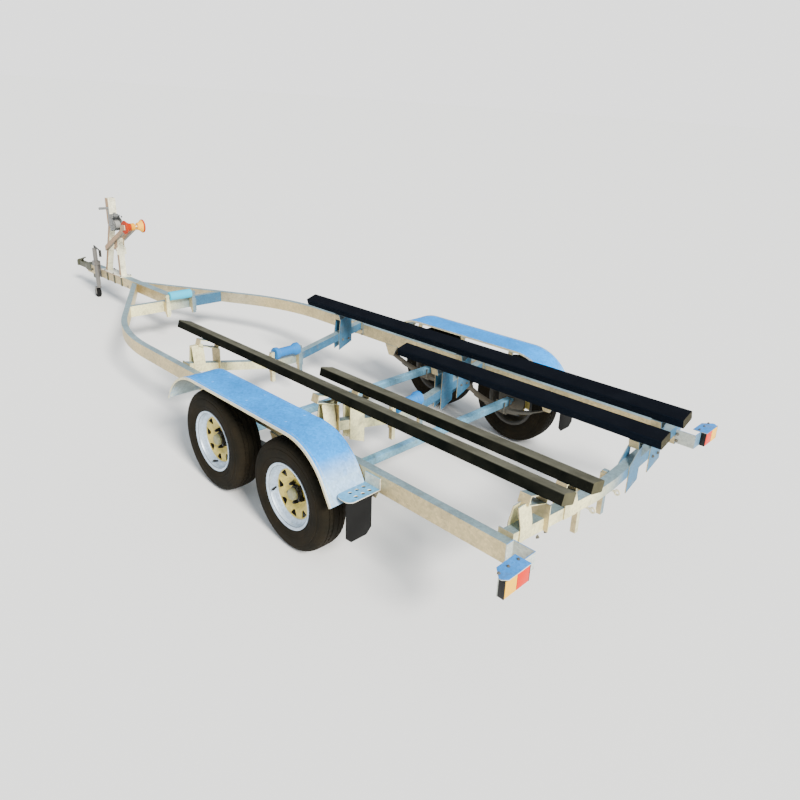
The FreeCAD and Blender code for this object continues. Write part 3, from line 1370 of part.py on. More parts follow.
# ---------------------------------------------------------------- coupling
nose = D.drawbar_front + D.coupling_length
ball_x = nose - D.head_radius
coupling_low = drawbar_bottom + D.coupling_rise
neck_top = coupling_low + D.coupling_height
neck_half = D.coupling_neck / 2
shell_half = half_bar + D.coupling_sheet
neck = prism("coupling_neck", "XY", [
    (D.drawbar_front, -shell_half),
    (D.drawbar_front + D.coupling_overlap, -neck_half),
    (ball_x, -neck_half),
    (ball_x, neck_half),
    (D.drawbar_front + D.coupling_overlap, neck_half),
    (D.drawbar_front, shell_half),
], "Sizes.coupling_height", offset=coupling_low)
shell = prism("coupling_shell", "YZ", [
    (-shell_half, coupling_low),
    (-half_bar, coupling_low),
    (-half_bar, drawbar_top),
    (half_bar, drawbar_top),
    (half_bar, coupling_low),
    (shell_half, coupling_low),
    (shell_half, drawbar_top + D.coupling_sheet),
    (-shell_half, drawbar_top + D.coupling_sheet),
], D.coupling_overlap + D.coupling_sheet, offset=D.drawbar_front - D.coupling_overlap)
shell_front = block("coupling_shell_front", "Sizes.coupling_sheet", 2 * shell_half,
                    drawbar_top + D.coupling_sheet - coupling_low,
                    (D.drawbar_front, -shell_half, coupling_low))
skull = rod("coupling_skull", "Sizes.head_radius", "Sizes.coupling_height",
            (ball_x, 0, coupling_low), (0, 0, 1))
crown = doc.addObject("Part::Cone", "coupling_crown")
crown.setExpression("Radius1", "Sizes.head_radius")
crown.setExpression("Radius2", "Sizes.head_radius / 2")
crown.setExpression("Height", "Sizes.head_height - Sizes.coupling_height")
crown.Placement = Placement(Vector(ball_x, 0, neck_top), Rotation())
head = fuse("coupling_form", [neck, shell, shell_front, skull, crown])
socket_radius = D.ball_radius + D.ball_clearance
ball_z = coupling_low + D.ball_height
ball = doc.addObject("Part::Sphere", "socket_ball")
ball.Radius = socket_radius
ball.Placement = Placement(Vector(ball_x, 0, ball_z), Rotation())
throat = rod("socket_throat", socket_radius, 2 * D.ball_height,
             (ball_x, 0, ball_z - 2 * D.ball_height), (0, 0, 1))
node(cut("coupling_head", head, fuse("socket", [ball, throat])), "coupling_head", PARKED)
latch_front = ball_x - D.head_radius - D.coupling_sheet
latch_top = neck_top + D.latch_rise
node(prism("coupling_handle", "XZ", [
    (latch_front, neck_top),
    (latch_front, latch_top),
    (latch_front - D.latch_length, latch_top + 3 * D.latch_thickness),
    (latch_front - D.latch_length, latch_top + 2 * D.latch_thickness),
    (latch_front - 2 * D.latch_width, latch_top),
    (latch_front - D.latch_width, neck_top),
], "Sizes.latch_width", middle=True), "coupling_handle", PARKED)
node(block("chain_tab", "Sizes.tab_length", "Sizes.tab_sheet", "Sizes.tab_height",
           (D.drawbar_front - D.coupling_overlap, -D.tab_sheet / 2,
            drawbar_bottom - D.tab_height)), "chain_tab", PARKED)

# ---------------------------------------------------------------- winch post
base_rear = D.post_leg_rear - D.base_margin
base_front = D.post_leg_front + D.base_margin
base = block("post_base", base_front - base_rear, "Sizes.drawbar_width + 2 * Sizes.base_overhang",
             "Sizes.base_sheet", (base_rear, -half_bar - D.base_overhang, drawbar_top))
foot_z = drawbar_top + D.base_sheet
leg_half = D.post_leg_side / 2
post_half = D.post_side / 2
leg_top_z = D.arm_root + D.leg_rise
leg_top_x = D.post_station + post_half - leg_half
leg_slope = (leg_top_x - D.post_leg_front) / (leg_top_z - foot_z)
front_leg = prism("post_front_leg", "XZ", [
    (D.post_leg_front - leg_half, foot_z),
    (D.post_leg_front + leg_half, foot_z),
    (leg_top_x + leg_half, leg_top_z),
    (leg_top_x - leg_half, leg_top_z),
], "Sizes.post_leg_width", middle=True)

arm_root_x = D.post_leg_front + leg_slope * (D.arm_root - foot_z)
arm_end_x = D.bow_station + D.bow_end_radius + D.bow_reach
arm_end_z = D.bow_height - D.arm_end_drop
arm_slope = (arm_end_z - D.arm_root) / (arm_end_x - arm_root_x)
arm_half = D.arm_height / 2 * math.sqrt(1 + arm_slope ** 2)


def arm_level(station):
    """Middle height of the roller arms."""
    return D.arm_root + arm_slope * (station - arm_root_x)


winch_station = D.post_station - post_half - D.winch_reach
winch_height = arm_level(winch_station) + D.winch_rise
post_bottom = winch_height - D.base_sheet
leg_width_half = D.post_leg_width / 2
rear_leg = prism("post_rear_leg", "XZ", [
    (D.post_leg_rear - leg_half, foot_z),
    (D.post_leg_rear + leg_half, foot_z),
    (D.post_leg_rear + leg_half, arm_level(D.post_leg_rear + leg_half)),
    (D.post_leg_rear - leg_half, arm_level(D.post_leg_rear - leg_half)),
], "Sizes.post_leg_width", middle=True)
column_low = leg_top_z - D.post_lap
column = block("post_column", "Sizes.post_side", "Sizes.post_side",
               post_bottom + D.post_height - column_low,
               (D.post_station - post_half, -post_half, column_low))
bore = D.post_side - 2 * D.post_wall
hollow_column = cut("post_tube", column,
                    block("post_hollow", bore, bore, "Sizes.post_height",
                          (D.post_station - bore / 2, -bore / 2, leg_top_z)))
arm_outline = [
    (arm_root_x, D.arm_root - arm_half),
    (arm_root_x, D.arm_root + arm_half),
    (arm_end_x, arm_end_z + arm_half),
    (arm_end_x, arm_end_z - arm_half),
]
gusset_low = arm_level(D.post_leg_rear) - D.gusset_drop
gusset_outline = [
    (D.post_leg_rear - leg_half, gusset_low),
    (D.post_leg_rear + leg_half, gusset_low),
    (D.post_leg_rear + D.gusset_half, arm_level(D.post_leg_rear + D.gusset_half)),
    (D.post_leg_rear - D.gusset_half, arm_level(D.post_leg_rear - D.gusset_half)),
]
post_pieces = [base, front_leg, rear_leg, hollow_column]
for side_name, side in SIDES:
    low = leg_width_half if side == LEFT else -leg_width_half - D.arm_width
    post_pieces.append(prism("roller_arm_" + side_name, "XZ", arm_outline, "Sizes.arm_width",
                             offset=-low - D.arm_width))
    low = leg_width_half if side == LEFT else -leg_width_half - D.base_sheet
    post_pieces.append(prism("leg_gusset_" + side_name, "XZ", gusset_outline,
                             "Sizes.base_sheet", offset=-low - D.base_sheet))
node(fuse("winch_post", post_pieces), "winch_post", PARKED)

strap_rear = base_rear + D.strap_inset
strap_front = base_front - D.front_strap_inset
strap_outside = half_bar + D.strap_sheet
straps = []
for number, station in enumerate((strap_rear, (strap_rear + strap_front) / 2, strap_front)):
    straps.append(prism("post_strap_%d" % number, "YZ", [
        (-strap_outside, drawbar_top),
        (-strap_outside, drawbar_bottom - D.strap_sheet),
        (strap_outside, drawbar_bottom - D.strap_sheet),
        (strap_outside, drawbar_top),
        (half_bar, drawbar_top),
        (half_bar, drawbar_bottom),
        (-half_bar, drawbar_bottom),
        (-half_bar, drawbar_top),
    ], "Sizes.strap_width", offset=station - D.strap_width / 2))
node(gather("post_straps", straps), "post_straps", PARKED)

# ---------------------------------------------------------------- bow roller
bow_half = D.bow_length / 2
fork_half = bow_half + D.clearance + D.bow_fork_sheet
fork = prism("bow_fork", "XZ", [
    (D.bow_station - D.bow_fork_half, D.bow_height - D.bow_fork_half),
    (D.bow_station - D.bow_fork_half, D.bow_height + D.bow_fork_half),
    (D.bow_station + D.bow_fork_half, D.bow_height + D.bow_fork_half),
    (arm_end_x, arm_end_z + arm_half),
    (arm_end_x, arm_end_z - arm_half),
], "Sizes.bow_fork_sheet", offset=-fork_half)
fork_right = mirrored("bow_fork_right", fork)
fork_back = block("bow_fork_back", "Sizes.bow_fork_sheet", 2 * fork_half, 2 * arm_half,
                  (arm_end_x - D.bow_fork_sheet, -fork_half, arm_end_z - arm_half))
bow_pin = rod("bow_pin", "Sizes.bow_pin", 2 * fork_half,
              (D.bow_station, -fork_half, D.bow_height), (0, 1, 0))
node(fuse("bow_roller_bracket", [fork, fork_right, fork_back, bow_pin]), "bow_roller_bracket",
     PARKED)
bow_bore = D.bow_pin + D.pin_clearance
bow = turned("bow_roller", [
    (bow_bore, -bow_half),
    (D.bow_end_radius, -bow_half),
    (D.bow_end_radius, -bow_half + D.bow_rim),
    (D.bow_core_radius, -D.bow_core_half),
    (D.bow_core_radius, D.bow_core_half),
    (D.bow_end_radius, bow_half - D.bow_rim),
    (D.bow_end_radius, bow_half),
    (bow_bore, bow_half),
])
bow_seat = Placement(Vector(D.bow_station, 0, D.bow_height), Rotation())
node(bow, "bow_roller", PARKED.multiply(bow_seat))

# ---------------------------------------------------------------- winch
side_gap = D.winch_inside / 2
winch_outside = side_gap + D.winch_plate
post_rear = D.post_station - post_half
plates = []
for side_name, side in SIDES:
    low = side_gap if side == LEFT else -winch_outside
    plates.append(prism("winch_side_" + side_name, "XZ", [
        (winch_station - D.winch_nose, winch_height - D.winch_nose),
        (winch_station - D.winch_nose, winch_height + D.winch_nose),
        (post_rear, winch_height + D.winch_tall),
        (post_rear, winch_height - D.winch_deep),
    ], "Sizes.winch_plate", offset=-low - D.winch_plate))
winch_back = block("winch_back", "Sizes.winch_plate", 2 * winch_outside,
                   "Sizes.winch_tall + Sizes.winch_deep",
                   (post_rear - D.winch_plate, -winch_outside, winch_height - D.winch_deep))
frame_form = fuse("winch_frame_form", plates + [winch_back])
shaft_hole = rod("winch_shaft_hole", D.drum_shaft_radius + D.pin_clearance, 4 * winch_outside,
                 (winch_station, -2 * winch_outside, winch_height), (0, 1, 0))
node(cut("winch_frame", frame_form, shaft_hole), "winch_frame", PARKED)
drum_half = side_gap - D.clearance
drum = turned("winch_drum", [
    (0.0, -winch_outside - D.crank_sheet),
    (D.drum_shaft_radius, -winch_outside - D.crank_sheet),
    (D.drum_shaft_radius, -drum_half),
    (D.drum_flange_radius, -drum_half),
    (D.drum_flange_radius, -drum_half + D.drum_flange),
    (D.drum_core_radius, -drum_half + D.drum_flange),
    (D.drum_core_radius, drum_half - D.drum_flange),
    (D.drum_flange_radius, drum_half - D.drum_flange),
    (D.drum_flange_radius, drum_half),
    (D.drum_shaft_radius, drum_half),
    (D.drum_shaft_radius, winch_outside + D.shaft_end),
    (0.0, winch_outside + D.shaft_end),
])
winch_seat = PARKED.multiply(Placement(Vector(winch_station, 0, winch_height), Rotation()))
node(drum, "winch_drum", winch_seat)
crank_y = winch_outside + D.shaft_end
crank_bar = prism("crank_bar", "XZ", [
    (-D.crank_half_width, -D.crank_half_width),
    (D.crank_half_width, -D.crank_half_width),
    (D.crank_half_width, D.crank_length),
    (-D.crank_half_width, D.crank_length),
], "Sizes.crank_sheet", offset=-crank_y - D.crank_sheet)
grip = rod("crank_grip", "Sizes.grip_radius", "Sizes.grip_length",
           (0, crank_y + D.crank_sheet, D.crank_length - D.grip_radius), (0, 1, 0))
node(fuse("winch_handle", [crank_bar, grip]), "winch_handle", winch_seat)

# ---------------------------------------------------------------- jockey stand
jockey_y = half_bar + D.jockey_gap + D.jockey_tube_radius
jockey_top = drawbar_top + D.jockey_rise
tube_length = jockey_top - D.jockey_low
outer_tube = cut("jockey_pipe",
                 rod("jockey_outer", "Sizes.jockey_tube_radius", tube_length,
                     (D.jockey_station, jockey_y, D.jockey_low), (0, 0, 1)),
                 rod("jockey_inner", "Sizes.jockey_tube_radius - Sizes.jockey_tube_wall",
                     tube_length, (D.jockey_station, jockey_y, D.jockey_low - D.jockey_cap),
                     (0, 0, 1)))
clamp_high = drawbar_top + D.jockey_clamp_rise
clamp_plate = block("jockey_clamp_plate", "2 * Sizes.jockey_clamp_half", "Sizes.base_sheet",
                    clamp_high - drawbar_bottom,
                    (D.jockey_station - D.jockey_clamp_half, half_bar, drawbar_bottom))
collar_half = D.jockey_tube_radius + D.base_sheet
collar = block("jockey_collar", 2 * collar_half, jockey_y + collar_half - half_bar,
               "Sizes.jockey_collar_height",
               (D.jockey_station - collar_half, half_bar, clamp_high - D.jockey_collar_height))
clamp_bore = rod("jockey_clamp_bore", "Sizes.jockey_tube_radius", tube_length,
                 (D.jockey_station, jockey_y, D.jockey_low), (0, 0, 1))
clamp_form = cut("jockey_clamp", fuse("jockey_clamp_form", [clamp_plate, collar]), clamp_bore)
node(fuse("jockey_tube", [outer_tube, clamp_form]), "jockey_tube", PARKED)

crank_rise = 4 * D.jockey_crank_rod
crank_drop = D.jockey_crank_reach / 4
elbow_z = jockey_top + crank_rise
arm_length = math.hypot(D.jockey_crank_reach, crank_drop)
grip_x = D.jockey_station - D.jockey_crank_reach
crank_stem = rod("jockey_crank_stem", "Sizes.jockey_crank_rod", crank_rise,
                 (D.jockey_station, jockey_y, jockey_top), (0, 0, 1))
crank_ball = doc.addObject("Part::Sphere", "jockey_crank_elbow")
crank_ball.setExpression("Radius", "Sizes.jockey_crank_rod")
crank_ball.Placement = Placement(Vector(D.jockey_station, jockey_y, elbow_z), Rotation())
crank_arm = rod("jockey_crank_arm", "Sizes.jockey_crank_rod", arm_length,
                (D.jockey_station, jockey_y, elbow_z), (-D.jockey_crank_reach, 0, -crank_drop))
crank_knob = rod("jockey_crank_knob", 2 * D.jockey_crank_rod, D.jockey_crank_reach / 2,
                 (grip_x, jockey_y, elbow_z - crank_drop - D.jockey_crank_reach / 2 +
                  D.jockey_crank_rod), (0, 0, 1))
node(fuse("jockey_crank", [crank_stem, crank_ball, crank_arm, crank_knob]), "jockey_crank", PARKED)

lean = math.radians(D.nose_down)
foot_station = D.jockey_station + D.jockey_lead
sole = D.jockey_wheel_radius - D.tyre_radius + foot_station * math.sin(lean)
wheel_z = sole / math.cos(lean) + D.tyre_radius
fork_top = wheel_z + D.jockey_wheel_radius + 2 * D.jockey_fork_sheet
leg_bottom = fork_top + D.jockey_fork_sheet + D.clearance
leg = rod("jockey_leg", "Sizes.jockey_leg_radius", jockey_top - D.jockey_leg_room - leg_bottom,
          (D.jockey_station, jockey_y, leg_bottom), (0, 0, 1))
node(leg, "jockey_leg", PARKED)
cheek_in = D.jockey_wheel_width / 2 + D.clearance
cheek_out = cheek_in + D.jockey_fork_sheet
crown_rear = D.jockey_station - D.jockey_leg_radius
crown_front = foot_station + D.jockey_fork_half
fork_pieces = [
    block("jockey_crown", crown_front - crown_rear, 2 * cheek_out, "Sizes.jockey_fork_sheet",
          (crown_rear, jockey_y - cheek_out, fork_top)),
    rod("jockey_pin", "Sizes.jockey_pin_radius", 2 * cheek_out,
        (foot_station, jockey_y - cheek_out, wheel_z), (0, 1, 0)),
]
for side_name, side in SIDES:
    low = jockey_y + (cheek_in if side == LEFT else -cheek_out)
    fork_pieces.append(block("jockey_cheek_" + side_name, "2 * Sizes.jockey_fork_half",
                             "Sizes.jockey_fork_sheet", fork_top - wheel_z + D.jockey_fork_half,
                             (foot_station - D.jockey_fork_half, low,
                              wheel_z - D.jockey_fork_half)))
node(fuse("jockey_fork", fork_pieces), "jockey_fork", PARKED)
wheel_half = D.jockey_wheel_width / 2
wheel_edge = D.jockey_wheel_width / 6
jockey_bore = D.jockey_pin_radius + D.pin_clearance
jockey_wheel = turned("jockey_wheel", [
    (jockey_bore, -wheel_half),
    (D.jockey_wheel_radius - wheel_edge, -wheel_half),
    (D.jockey_wheel_radius, -wheel_half + wheel_edge),
    (D.jockey_wheel_radius, wheel_half - wheel_edge),
    (D.jockey_wheel_radius - wheel_edge, wheel_half),
    (jockey_bore, wheel_half),
])
wheel_seat = Placement(Vector(foot_station, jockey_y, wheel_z), Rotation())
node(jockey_wheel, "jockey_wheel", PARKED.multiply(wheel_seat))

# ---------------------------------------------------------------- build, centre and write
doc.recompute()
for item in doc.Objects:
    if "Invalid" in item.State or "Error" in item.State:
        raise RuntimeError("failed feature: " + item.Name)
for item in NODES:
    if item.Shape.isNull() or not item.Shape.isValid():
        raise RuntimeError("bad shape: " + item.Label)

whole = Part.makeCompound([item.Shape for item in NODES]).optimalBoundingBox(False, False)
shift = Vector(-(whole.XMin + whole.XMax) / 2, -(whole.YMin + whole.YMax) / 2, 0)
print("extent", [round(v, 2) for v in (whole.XMin, whole.XMax, whole.YMin, whole.YMax,
                                       whole.ZMin, whole.ZMax)])
print("shift", round(shift.x, 3), round(shift.y, 3))
os.makedirs("parts", exist_ok=True)
for item in NODES:
    item.Placement = Placement(shift, Rotation()).multiply(item.Placement)
doc.recompute()
for item in NODES:
    item.Shape.exportStep("parts/%s.step" % item.Label)
print(len(NODES), "pieces")
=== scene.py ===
"""Looks of a parked tandem boat trailer: finishes, tyres, rollers, lamps and fixings.

Laid out as an add-on and run as a script.  Chassis places are written in metres on a level
chassis whose zero is midway between the axles; chassis_matrix leans them as it stands.
"""
import json
import math

import bmesh
import bpy
from bpy.props import FloatProperty, FloatVectorProperty, IntProperty, PointerProperty
from mathutils import Matrix, Vector

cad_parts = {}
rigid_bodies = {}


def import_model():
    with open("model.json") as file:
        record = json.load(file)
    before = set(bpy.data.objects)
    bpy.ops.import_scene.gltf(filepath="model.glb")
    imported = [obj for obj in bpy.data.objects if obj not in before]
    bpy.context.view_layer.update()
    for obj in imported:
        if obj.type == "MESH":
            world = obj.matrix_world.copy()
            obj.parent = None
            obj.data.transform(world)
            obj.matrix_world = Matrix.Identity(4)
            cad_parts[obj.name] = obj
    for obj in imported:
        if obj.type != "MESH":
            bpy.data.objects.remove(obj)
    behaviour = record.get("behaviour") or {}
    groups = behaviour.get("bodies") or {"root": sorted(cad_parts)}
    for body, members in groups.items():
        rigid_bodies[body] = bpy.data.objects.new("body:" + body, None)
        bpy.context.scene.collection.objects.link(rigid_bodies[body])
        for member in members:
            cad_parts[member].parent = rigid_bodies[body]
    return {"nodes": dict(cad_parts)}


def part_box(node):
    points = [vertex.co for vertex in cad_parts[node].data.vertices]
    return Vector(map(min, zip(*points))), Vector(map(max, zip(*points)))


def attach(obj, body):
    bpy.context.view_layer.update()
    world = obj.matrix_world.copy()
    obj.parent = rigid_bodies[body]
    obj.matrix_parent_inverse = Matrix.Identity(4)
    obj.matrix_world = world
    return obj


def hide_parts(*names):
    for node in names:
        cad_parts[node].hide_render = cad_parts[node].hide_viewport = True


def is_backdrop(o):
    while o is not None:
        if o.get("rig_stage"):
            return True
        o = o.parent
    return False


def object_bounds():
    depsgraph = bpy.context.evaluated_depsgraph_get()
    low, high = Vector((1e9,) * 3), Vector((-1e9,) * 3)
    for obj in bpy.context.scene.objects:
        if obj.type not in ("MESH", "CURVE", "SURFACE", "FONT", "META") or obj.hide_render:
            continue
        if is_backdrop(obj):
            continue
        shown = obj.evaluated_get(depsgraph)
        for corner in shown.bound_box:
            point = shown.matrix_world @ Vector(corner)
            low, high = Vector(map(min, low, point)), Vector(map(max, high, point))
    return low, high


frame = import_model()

bl_info = {
    "name": "Boat trailer",
    "version": (1, 0, 0),
    "blender": (4, 5, 0),
    "location": "View3D > Sidebar > Trailer",
    "description": "Builds the visible pieces, finishes and stage of a tandem boat trailer",
    "category": "Object",
}

# places
LEFT = 1
RIGHT = -1
SIDES = ((LEFT, "left"), (RIGHT, "right"))
UP = Vector((0, 0, 1))
NOSE_DOWN = math.radians(2.88)
RAIL_IN = 0.838
RAIL_MIDDLE = 0.863
WHEELS = ("front_left", "front_right", "rear_left", "rear_right")


def middle(node):
    """Middle of a CAD node's box."""
    low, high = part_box(node)
    return (low + high) / 2


def round_node(node):
    """Middle, radius and half width of a node that turns about a crosswise line."""
    low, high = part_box(node)
    return (low + high) / 2, (high.z - low.z) / 2, (high.y - low.y) / 2


def wheel_place(place):
    """Middle of a wheel, the way out from it and its body."""
    out = Vector((0, LEFT if place.endswith("left") else RIGHT, 0))
    return middle("tyre_" + place), out, "wheel_" + place


def chassis_matrix():
    front = middle("tyre_front_left")
    rear = middle("tyre_rear_left")
    pivot = Vector(((front.x + rear.x) / 2, 0, front.z))
    lean = Matrix.Rotation(NOSE_DOWN, 4, "Y")
    start = Matrix.Translation(Vector((0, 0, -pivot.z)))
    return Matrix.Translation(pivot) @ lean @ start


def facing(direction, across=None):
    """Turn that points Z along a direction, and X near another."""
    z = Vector(direction).normalized()
    x = Vector(across) if across else (Vector((1, 0, 0)) if abs(z.x) < 0.9 else UP)
    x = (x - z * x.dot(z)).normalized()
    y = z.cross(x)
    return Matrix((x, y, z)).transposed().to_4x4()


# modelling
class Piece:
    """One mesh being built; places are given in the frame of its base matrix."""

    def __init__(self, base=Matrix.Identity(4)):
        self.mesh = bmesh.new()
        self.base = base

    def seat(self, at, direction=(0, 0, 1), across=None):
        return self.base @ Matrix.Translation(Vector(at)) @ facing(direction, across)

    def box(self, at, size, bevel):
        """A rounded box centred on a point."""
        place = self.seat(at) @ Matrix.Diagonal((*size, 1.0))
        made = bmesh.ops.create_cube(self.mesh, size=1.0, matrix=place)["verts"]
        edges = list({edge for vert in made for edge in vert.link_edges})
        bmesh.ops.bevel(self.mesh, geom=edges, offset=bevel, segments=3, profile=0.5,
                        affect="EDGES", material=-1)

    def cone(self, at, direction, radius, top, depth, sides=24):
        """A cone or cylinder standing on a point."""
        place = self.seat(at, direction) @ Matrix.Translation(Vector((0, 0, depth / 2)))
        bmesh.ops.create_cone(self.mesh, cap_ends=True, segments=sides, radius1=radius,
                              radius2=top, depth=depth, matrix=place)

    def rod(self, at, direction, radius, depth, sides=24):
        self.cone(at, direction, radius, radius, depth, sides)

    def bolt(self, at, direction, size=0.009):
        """Washer, hexagon and thread end."""
        out = Vector(direction).normalized()
        at = Vector(at)
        self.rod(at, out, size * 1.45, size * 0.28, 16)
        self.cone(at + out * size * 0.28, out, size * 1.15, size, size * 0.9, 6)
        self.rod(at + out * size * 1.1, out, size * 0.55, size * 0.5, 12)

    def spun(self, at, direction, profile, steps=48, closed=True):
        """A profile of (radius, along) turned about a direction through a point."""
        before = set(self.mesh.verts)
        verts = [self.mesh.verts.new((r, 0, h)) for r, h in profile]
        ends = verts[1:] + (verts[:1] if closed else [])
        edges = [self.mesh.edges.new(pair) for pair in zip(verts, ends)]
        bmesh.ops.spin(self.mesh, geom=verts + edges, cent=(0, 0, 0), axis=(0, 0, 1),
                       angle=math.tau, steps=steps, use_merge=True)
        made = [vert for vert in self.mesh.verts if vert not in before]
        bmesh.ops.transform(self.mesh, matrix=self.seat(at, direction), verts=made)
        return made

    def tube(self, points, radius, sides=10):
        """A round bar drawn through points, with closed ends."""
        place = self.seat(points[0], points[1] - points[0])
        ring = bmesh.ops.create_circle(self.mesh, segments=sides, radius=radius,
                                       matrix=place)["verts"]
        first = edges = list({edge for vert in ring for edge in vert.link_edges})
        for before, point, after in zip(points, points[1:], points[2:] + points[-1:]):
            across = (self.base.inverted() @ place).col[0].to_3d()
            ahead = self.seat(point, after - before, across)
            made = bmesh.ops.extrude_edge_only(self.mesh, edges=edges)["geom"]
            ring = [item for item in made if isinstance(item, bmesh.types.BMVert)]
            edges = [item for item in made if isinstance(item, bmesh.types.BMEdge)
                     and item.verts[0] in ring and item.verts[1] in ring]
            bmesh.ops.transform(self.mesh, matrix=ahead @ place.inverted(), verts=ring)
            place = ahead
        for ends in (first, edges):
            bmesh.ops.edgeloop_fill(self.mesh, edges=ends)

    def plate(self, outline, thickness, at=(0, 0, 0), direction=(0, 0, 1), across=None):
        """A flat outline given a thickness along its direction."""
        place = self.seat(at, direction, across)
        verts = [self.mesh.verts.new(place @ Vector((x, y, 0))) for x, y in outline]
        face = self.mesh.faces.new(verts)
        out = (place.to_3x3() @ UP) * thickness
        made = bmesh.ops.extrude_face_region(self.mesh, geom=[face])
        moved = [item for item in made["geom"] if isinstance(item, bmesh.types.BMVert)]
        bmesh.ops.translate(self.mesh, vec=out, verts=moved)

    def shape(self, name, finish):
        """Turn the mesh into an object with a finish."""
        bmesh.ops.remove_doubles(self.mesh, verts=self.mesh.verts, dist=1e-6)
        bmesh.ops.recalc_face_normals(self.mesh, faces=self.mesh.faces)
        for face in self.mesh.faces:
            face.smooth = True
        for edge in self.mesh.edges:
            if len(edge.link_faces) == 2:
                edge.smooth = edge.calc_face_angle(0.0) < math.radians(32)
        data = bpy.data.meshes.new(name)
        self.mesh.to_mesh(data)
        self.mesh.free()
        piece = bpy.data.objects.new(name, data)
        bpy.context.scene.collection.objects.link(piece)
        data.materials.append(finish)
        return piece

    def finish(self, name, finish, body="chassis", slot=None, stands_for=()):
        """Turn the mesh into an object in a named finish that rides on a body."""
        piece = self.shape(name, FINISHES[finish])
        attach(piece, body)
        if stands_for:
            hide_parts(*stands_for)
        return piece


# finishes
NOWHERE = (0, 0, 0)
GREY = (0.5, 0.5, 0.5, 1)


def new_group(name, inputs, outputs):
    """A shader node group from named values; returns it, what it is given and its end."""
    group = bpy.data.node_groups.new(name, "ShaderNodeTree")
    for way, sockets in (("INPUT", inputs), ("OUTPUT", outputs)):
        for label, value in sockets.items():
            size = len(value) if isinstance(value, tuple) else 1
            kind = {1: "Float", 3: "Vector", 4: "Color"}[size]
            socket = group.interface.new_socket(label, in_out=way,
                                                socket_type="NodeSocket" + kind)
            socket.default_value = value
    return group, group.nodes.new("NodeGroupInput").outputs, group.nodes.new("NodeGroupOutput")


def feed(tree, socket, value):
    """Link a socket, or set it to a number or a colour."""
    if isinstance(value, bpy.types.NodeSocket):
        tree.links.new(value, socket)
    elif isinstance(value, tuple) and len(value) == 3 and socket.type == "RGBA":
        socket.default_value = (*value, 1)
    else:
        socket.default_value = value


def add(tree, kind, inputs=(), **values):
    """A shader node; inputs are pairs of a socket's key and what feeds it."""
    item = tree.nodes.new(kind)
    for key, value in values.items():
        setattr(item, key, value)
    for key, value in dict(inputs).items():
        feed(tree, item.inputs[key], value)
    return item


def mix_colour(tree, factor, first, second, blend="MIX"):
    return add(tree, "ShaderNodeMix", {0: factor, 6: first, 7: second}, data_type="RGBA",
               blend_type=blend).outputs[2]


def ranged(tree, value, low, high, to_low=0.0, to_high=1.0):
    return add(tree, "ShaderNodeMapRange", {
        "Value": value, "From Min": low, "From Max": high, "To Min": to_low,
        "To Max": to_high}).outputs["Result"]


def noise(tree, vector, scale, detail=3.0):
    return add(tree, "ShaderNodeTexNoise", {
        "Vector": vector, "Scale": scale, "Detail": detail}).outputs["Fac"]


def multiply(tree, first, second):
    return add(tree, "ShaderNodeMath", {0: first, 1: second},
               operation="MULTIPLY").outputs[0]


def side_group():
    """Paints light and shade into the colour by the way a surface faces: side, rear, far rear,
    top or underneath.
    """
    group, given, end = new_group("by_side", {
        "Place": NOWHERE, "Facing": (0, 0, 1), "Side": GREY, "Rear": GREY, "Far": GREY,
        "Top": GREY, "Low": GREY}, {"Colour": GREY})
    turn = add(group, "ShaderNodeSeparateXYZ", {"Vector": given["Facing"]}).outputs
    spot = add(group, "ShaderNodeSeparateXYZ", {"Vector": given["Place"]}).outputs
    # Faces turned up take the Top colour: painted light on tops, such as painted sky reflection
    # on zinc.
    high = ranged(group, turn["Z"], 0.35, 0.8)
    # Faces turned down take the Low colour: painted shade underneath.
    low = ranged(group, turn["Z"], -0.9, -0.3, 1.0, 0.0)
    # Faces turned to the rear take the Rear colour: painted sunlight.
    back = ranged(group, turn["X"], -0.85, -0.35, 1.0, 0.0)
    # Rear faces on the right half take the Far colour: painted shade on the far side.
    across = ranged(group, spot["Y"], -0.2, 0.2, 1.0, 0.0)
    # Other faces keep the Side colour, which holds the painted light of sideways faces.
    rear = mix_colour(group, across, given["Rear"], given["Far"])
    side = mix_colour(group, back, given["Side"], rear)
    side = mix_colour(group, low, side, given["Low"])
    feed(group, end.inputs["Colour"], mix_colour(group, high, side, given["Top"]))


def zinc_group():
    """Spangle, cloudiness and stain patches of hot-dip zinc over a colour; on the mudguards the
    patch colour is painted sky reflection.
    """
    group, given, end = new_group("zinc_spangle", {
        "Place": NOWHERE, "Colour": GREY, "Stain": GREY,
    }, {"Colour": GREY, "Roughness": 0.5, "Height": 0.0})
    cells = add(group, "ShaderNodeTexVoronoi", {"Vector": given["Place"], "Scale": 85.0})
    spangle = add(group, "ShaderNodeSeparateColor", {"Color": cells.outputs["Color"]}).outputs
    cloud = noise(group, given["Place"], 5.0, 5.0)
    # Patches of the stain colour: real stains on most zinc, painted sky reflection on the
    # mudguards.
    stain_and_reflection_patches = ranged(group, noise(group, given["Place"], 14.0, 6.0), 0.54, 0.7, 0.0, 0.35)
    tinted = mix_colour(group, stain_and_reflection_patches, given["Colour"], given["Stain"])
    level = multiply(group, ranged(group, spangle["Red"], 0.0, 1.0, 0.84, 1.1),
                     ranged(group, cloud, 0.3, 0.7, 0.8, 1.12))
    grey = add(group, "ShaderNodeCombineColor", {"Red": level, "Green": level, "Blue": level})
    colour = mix_colour(group, 1.0, tinted, grey.outputs["Color"], "MULTIPLY")
    feed(group, end.inputs["Colour"], colour)
    feed(group, end.inputs["Roughness"], ranged(group, cloud, 0.3, 0.7, 0.38, 0.55))
    feed(group, end.inputs["Height"], spangle["Green"])


